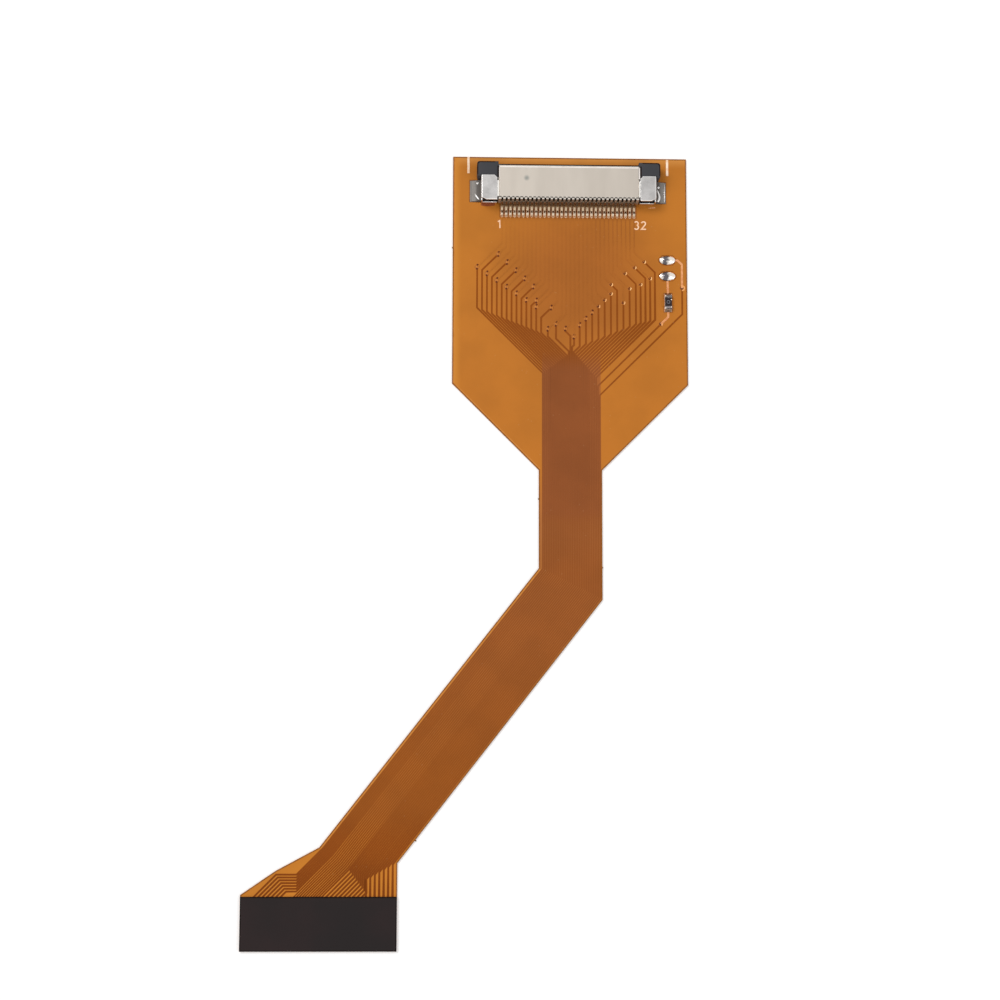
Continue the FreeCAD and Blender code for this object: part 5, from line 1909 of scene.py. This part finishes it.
@dataclass
class Studio:
    """The floor, the lamps, the white surroundings and the camera."""

    floor_half: float = 1.5
    floor_level: float = -0.00002
    floor_tone: tuple[float, float, float, float] = (0.8, 0.8, 0.8, 1.0)
    floor_glow: float = 0.26
    world_light: float = 0.66
    world_extra: float = 0.34
    lamps: tuple[tuple[str, Point, float], ...] = (
        ("key_lamp", (-0.9, 0.7, 1.5), 16.5),
        ("fill_lamp", (1.0, -0.5, 1.3), 5.4),
    )
    lamp_side: float = 0.8
    camera_place: Point = (-0.003735, -0.023562, 0.22805)
    camera_turn: Point = (7.17, -1.85, 0.13)
    lens: float = 72.0
    nearest: float = 0.01

    def build(self) -> None:
        """Builds the studio in order."""
        self.build_floor()
        self.build_world()
        self.build_lamps()
        self.build_camera()

    def seen(self, sheet: NodeSheet) -> bpy.types.NodeSocket:
        """Masks the rays that show the background itself.

        Args:
            sheet: The node sheet of the floor or the world.

        Returns:
            The mask's socket.
        """
        rays = sheet.add("ShaderNodeLightPath").outputs
        shown = sheet.math("MAXIMUM", rays["Is Camera Ray"], rays["Is Glossy Ray"])
        return sheet.math("MAXIMUM", shown, rays["Is Transmission Ray"])

    def build_floor(self) -> None:
        """Lays a pale floor that shows white and keeps the part's shadow."""
        half = self.floor_half
        mesh = bpy.data.meshes.new("floor")
        square = ((-half, -half), (half, -half), (half, half), (-half, half))
        mesh.from_pydata([(x, y, self.floor_level) for x, y in square], [], [(0, 1, 2, 3)])
        floor = bpy.data.objects.new("floor", mesh)
        bpy.context.scene.collection.objects.link(floor)
        material = bpy.data.materials.new("pale_floor")
        material.use_nodes = True
        sheet = NodeSheet(material.node_tree)
        sheet.tree.nodes.clear()
        diffuse = sheet.add("ShaderNodeBsdfDiffuse")
        diffuse.inputs["Color"].default_value = self.floor_tone
        glow = sheet.add("ShaderNodeEmission")
        sheet.feed(glow.inputs["Strength"], sheet.product(self.seen(sheet), self.floor_glow))
        both = sheet.add("ShaderNodeAddShader")
        output = sheet.add("ShaderNodeOutputMaterial")
        sheet.feed(both.inputs[0], diffuse.outputs[0])
        sheet.feed(both.inputs[1], glow.outputs[0])
        sheet.feed(output.inputs["Surface"], both.outputs[0])
        mesh.materials.append(material)

    def build_world(self) -> None:
        """Surrounds the part with soft white light."""
        world = bpy.data.worlds.new("soft_white")
        bpy.context.scene.world = world
        world.use_nodes = True
        sheet = NodeSheet(world.node_tree)
        sheet.tree.nodes.clear()
        light = sheet.add("ShaderNodeBackground")
        strength = sheet.math("MULTIPLY_ADD", self.seen(sheet), self.world_extra, self.world_light)
        sheet.feed(light.inputs["Strength"], strength)
        output = sheet.add("ShaderNodeOutputWorld")
        sheet.feed(output.inputs["Surface"], light.outputs[0])

    def build_lamps(self) -> None:
        """Hangs a large soft lamp up and to the left, and a weaker one to the right."""
        for name, place, power in self.lamps:
            lamp = bpy.data.lights.new(name, "AREA")
            lamp.energy = power
            lamp.size = self.lamp_side
            holder = bpy.data.objects.new(name, lamp)
            holder.location = place
            holder.rotation_euler = (-Vector(place)).to_track_quat("-Z", "Y").to_euler()
            bpy.context.scene.collection.objects.link(holder)

    def build_camera(self) -> None:
        """Sets the camera at the photograph's angle."""
        camera = bpy.data.cameras.new("camera")
        camera.lens = self.lens
        camera.clip_start = self.nearest
        holder = bpy.data.objects.new("camera", camera)
        holder.location = self.camera_place
        holder.rotation_euler = Euler([math.radians(turn) for turn in self.camera_turn], "XYZ")
        bpy.context.scene.collection.objects.link(holder)
        bpy.context.scene.camera = holder
        bpy.context.scene.view_settings.view_transform = "Standard"


def main() -> None:
    """Builds every sub-assembly and the studio in order."""
    logging.basicConfig(level=logging.INFO, format="%(message)s")
    assemblies = (
        FilmCircuit(), PlatedHoles(), PrintedMarks(), FilmEdges(), Stiffener(),
        Connector(), Comb(), BracketFeet(), FilmPatches(), PlateGapsAndEdges(), FrontWall(),
        Jumpers(), Chip(), Studio(),
    )
    for assembly in assemblies:
        log.info("Building %s", type(assembly).__name__)
        assembly.build()


if __name__ == "__main__":
    main()
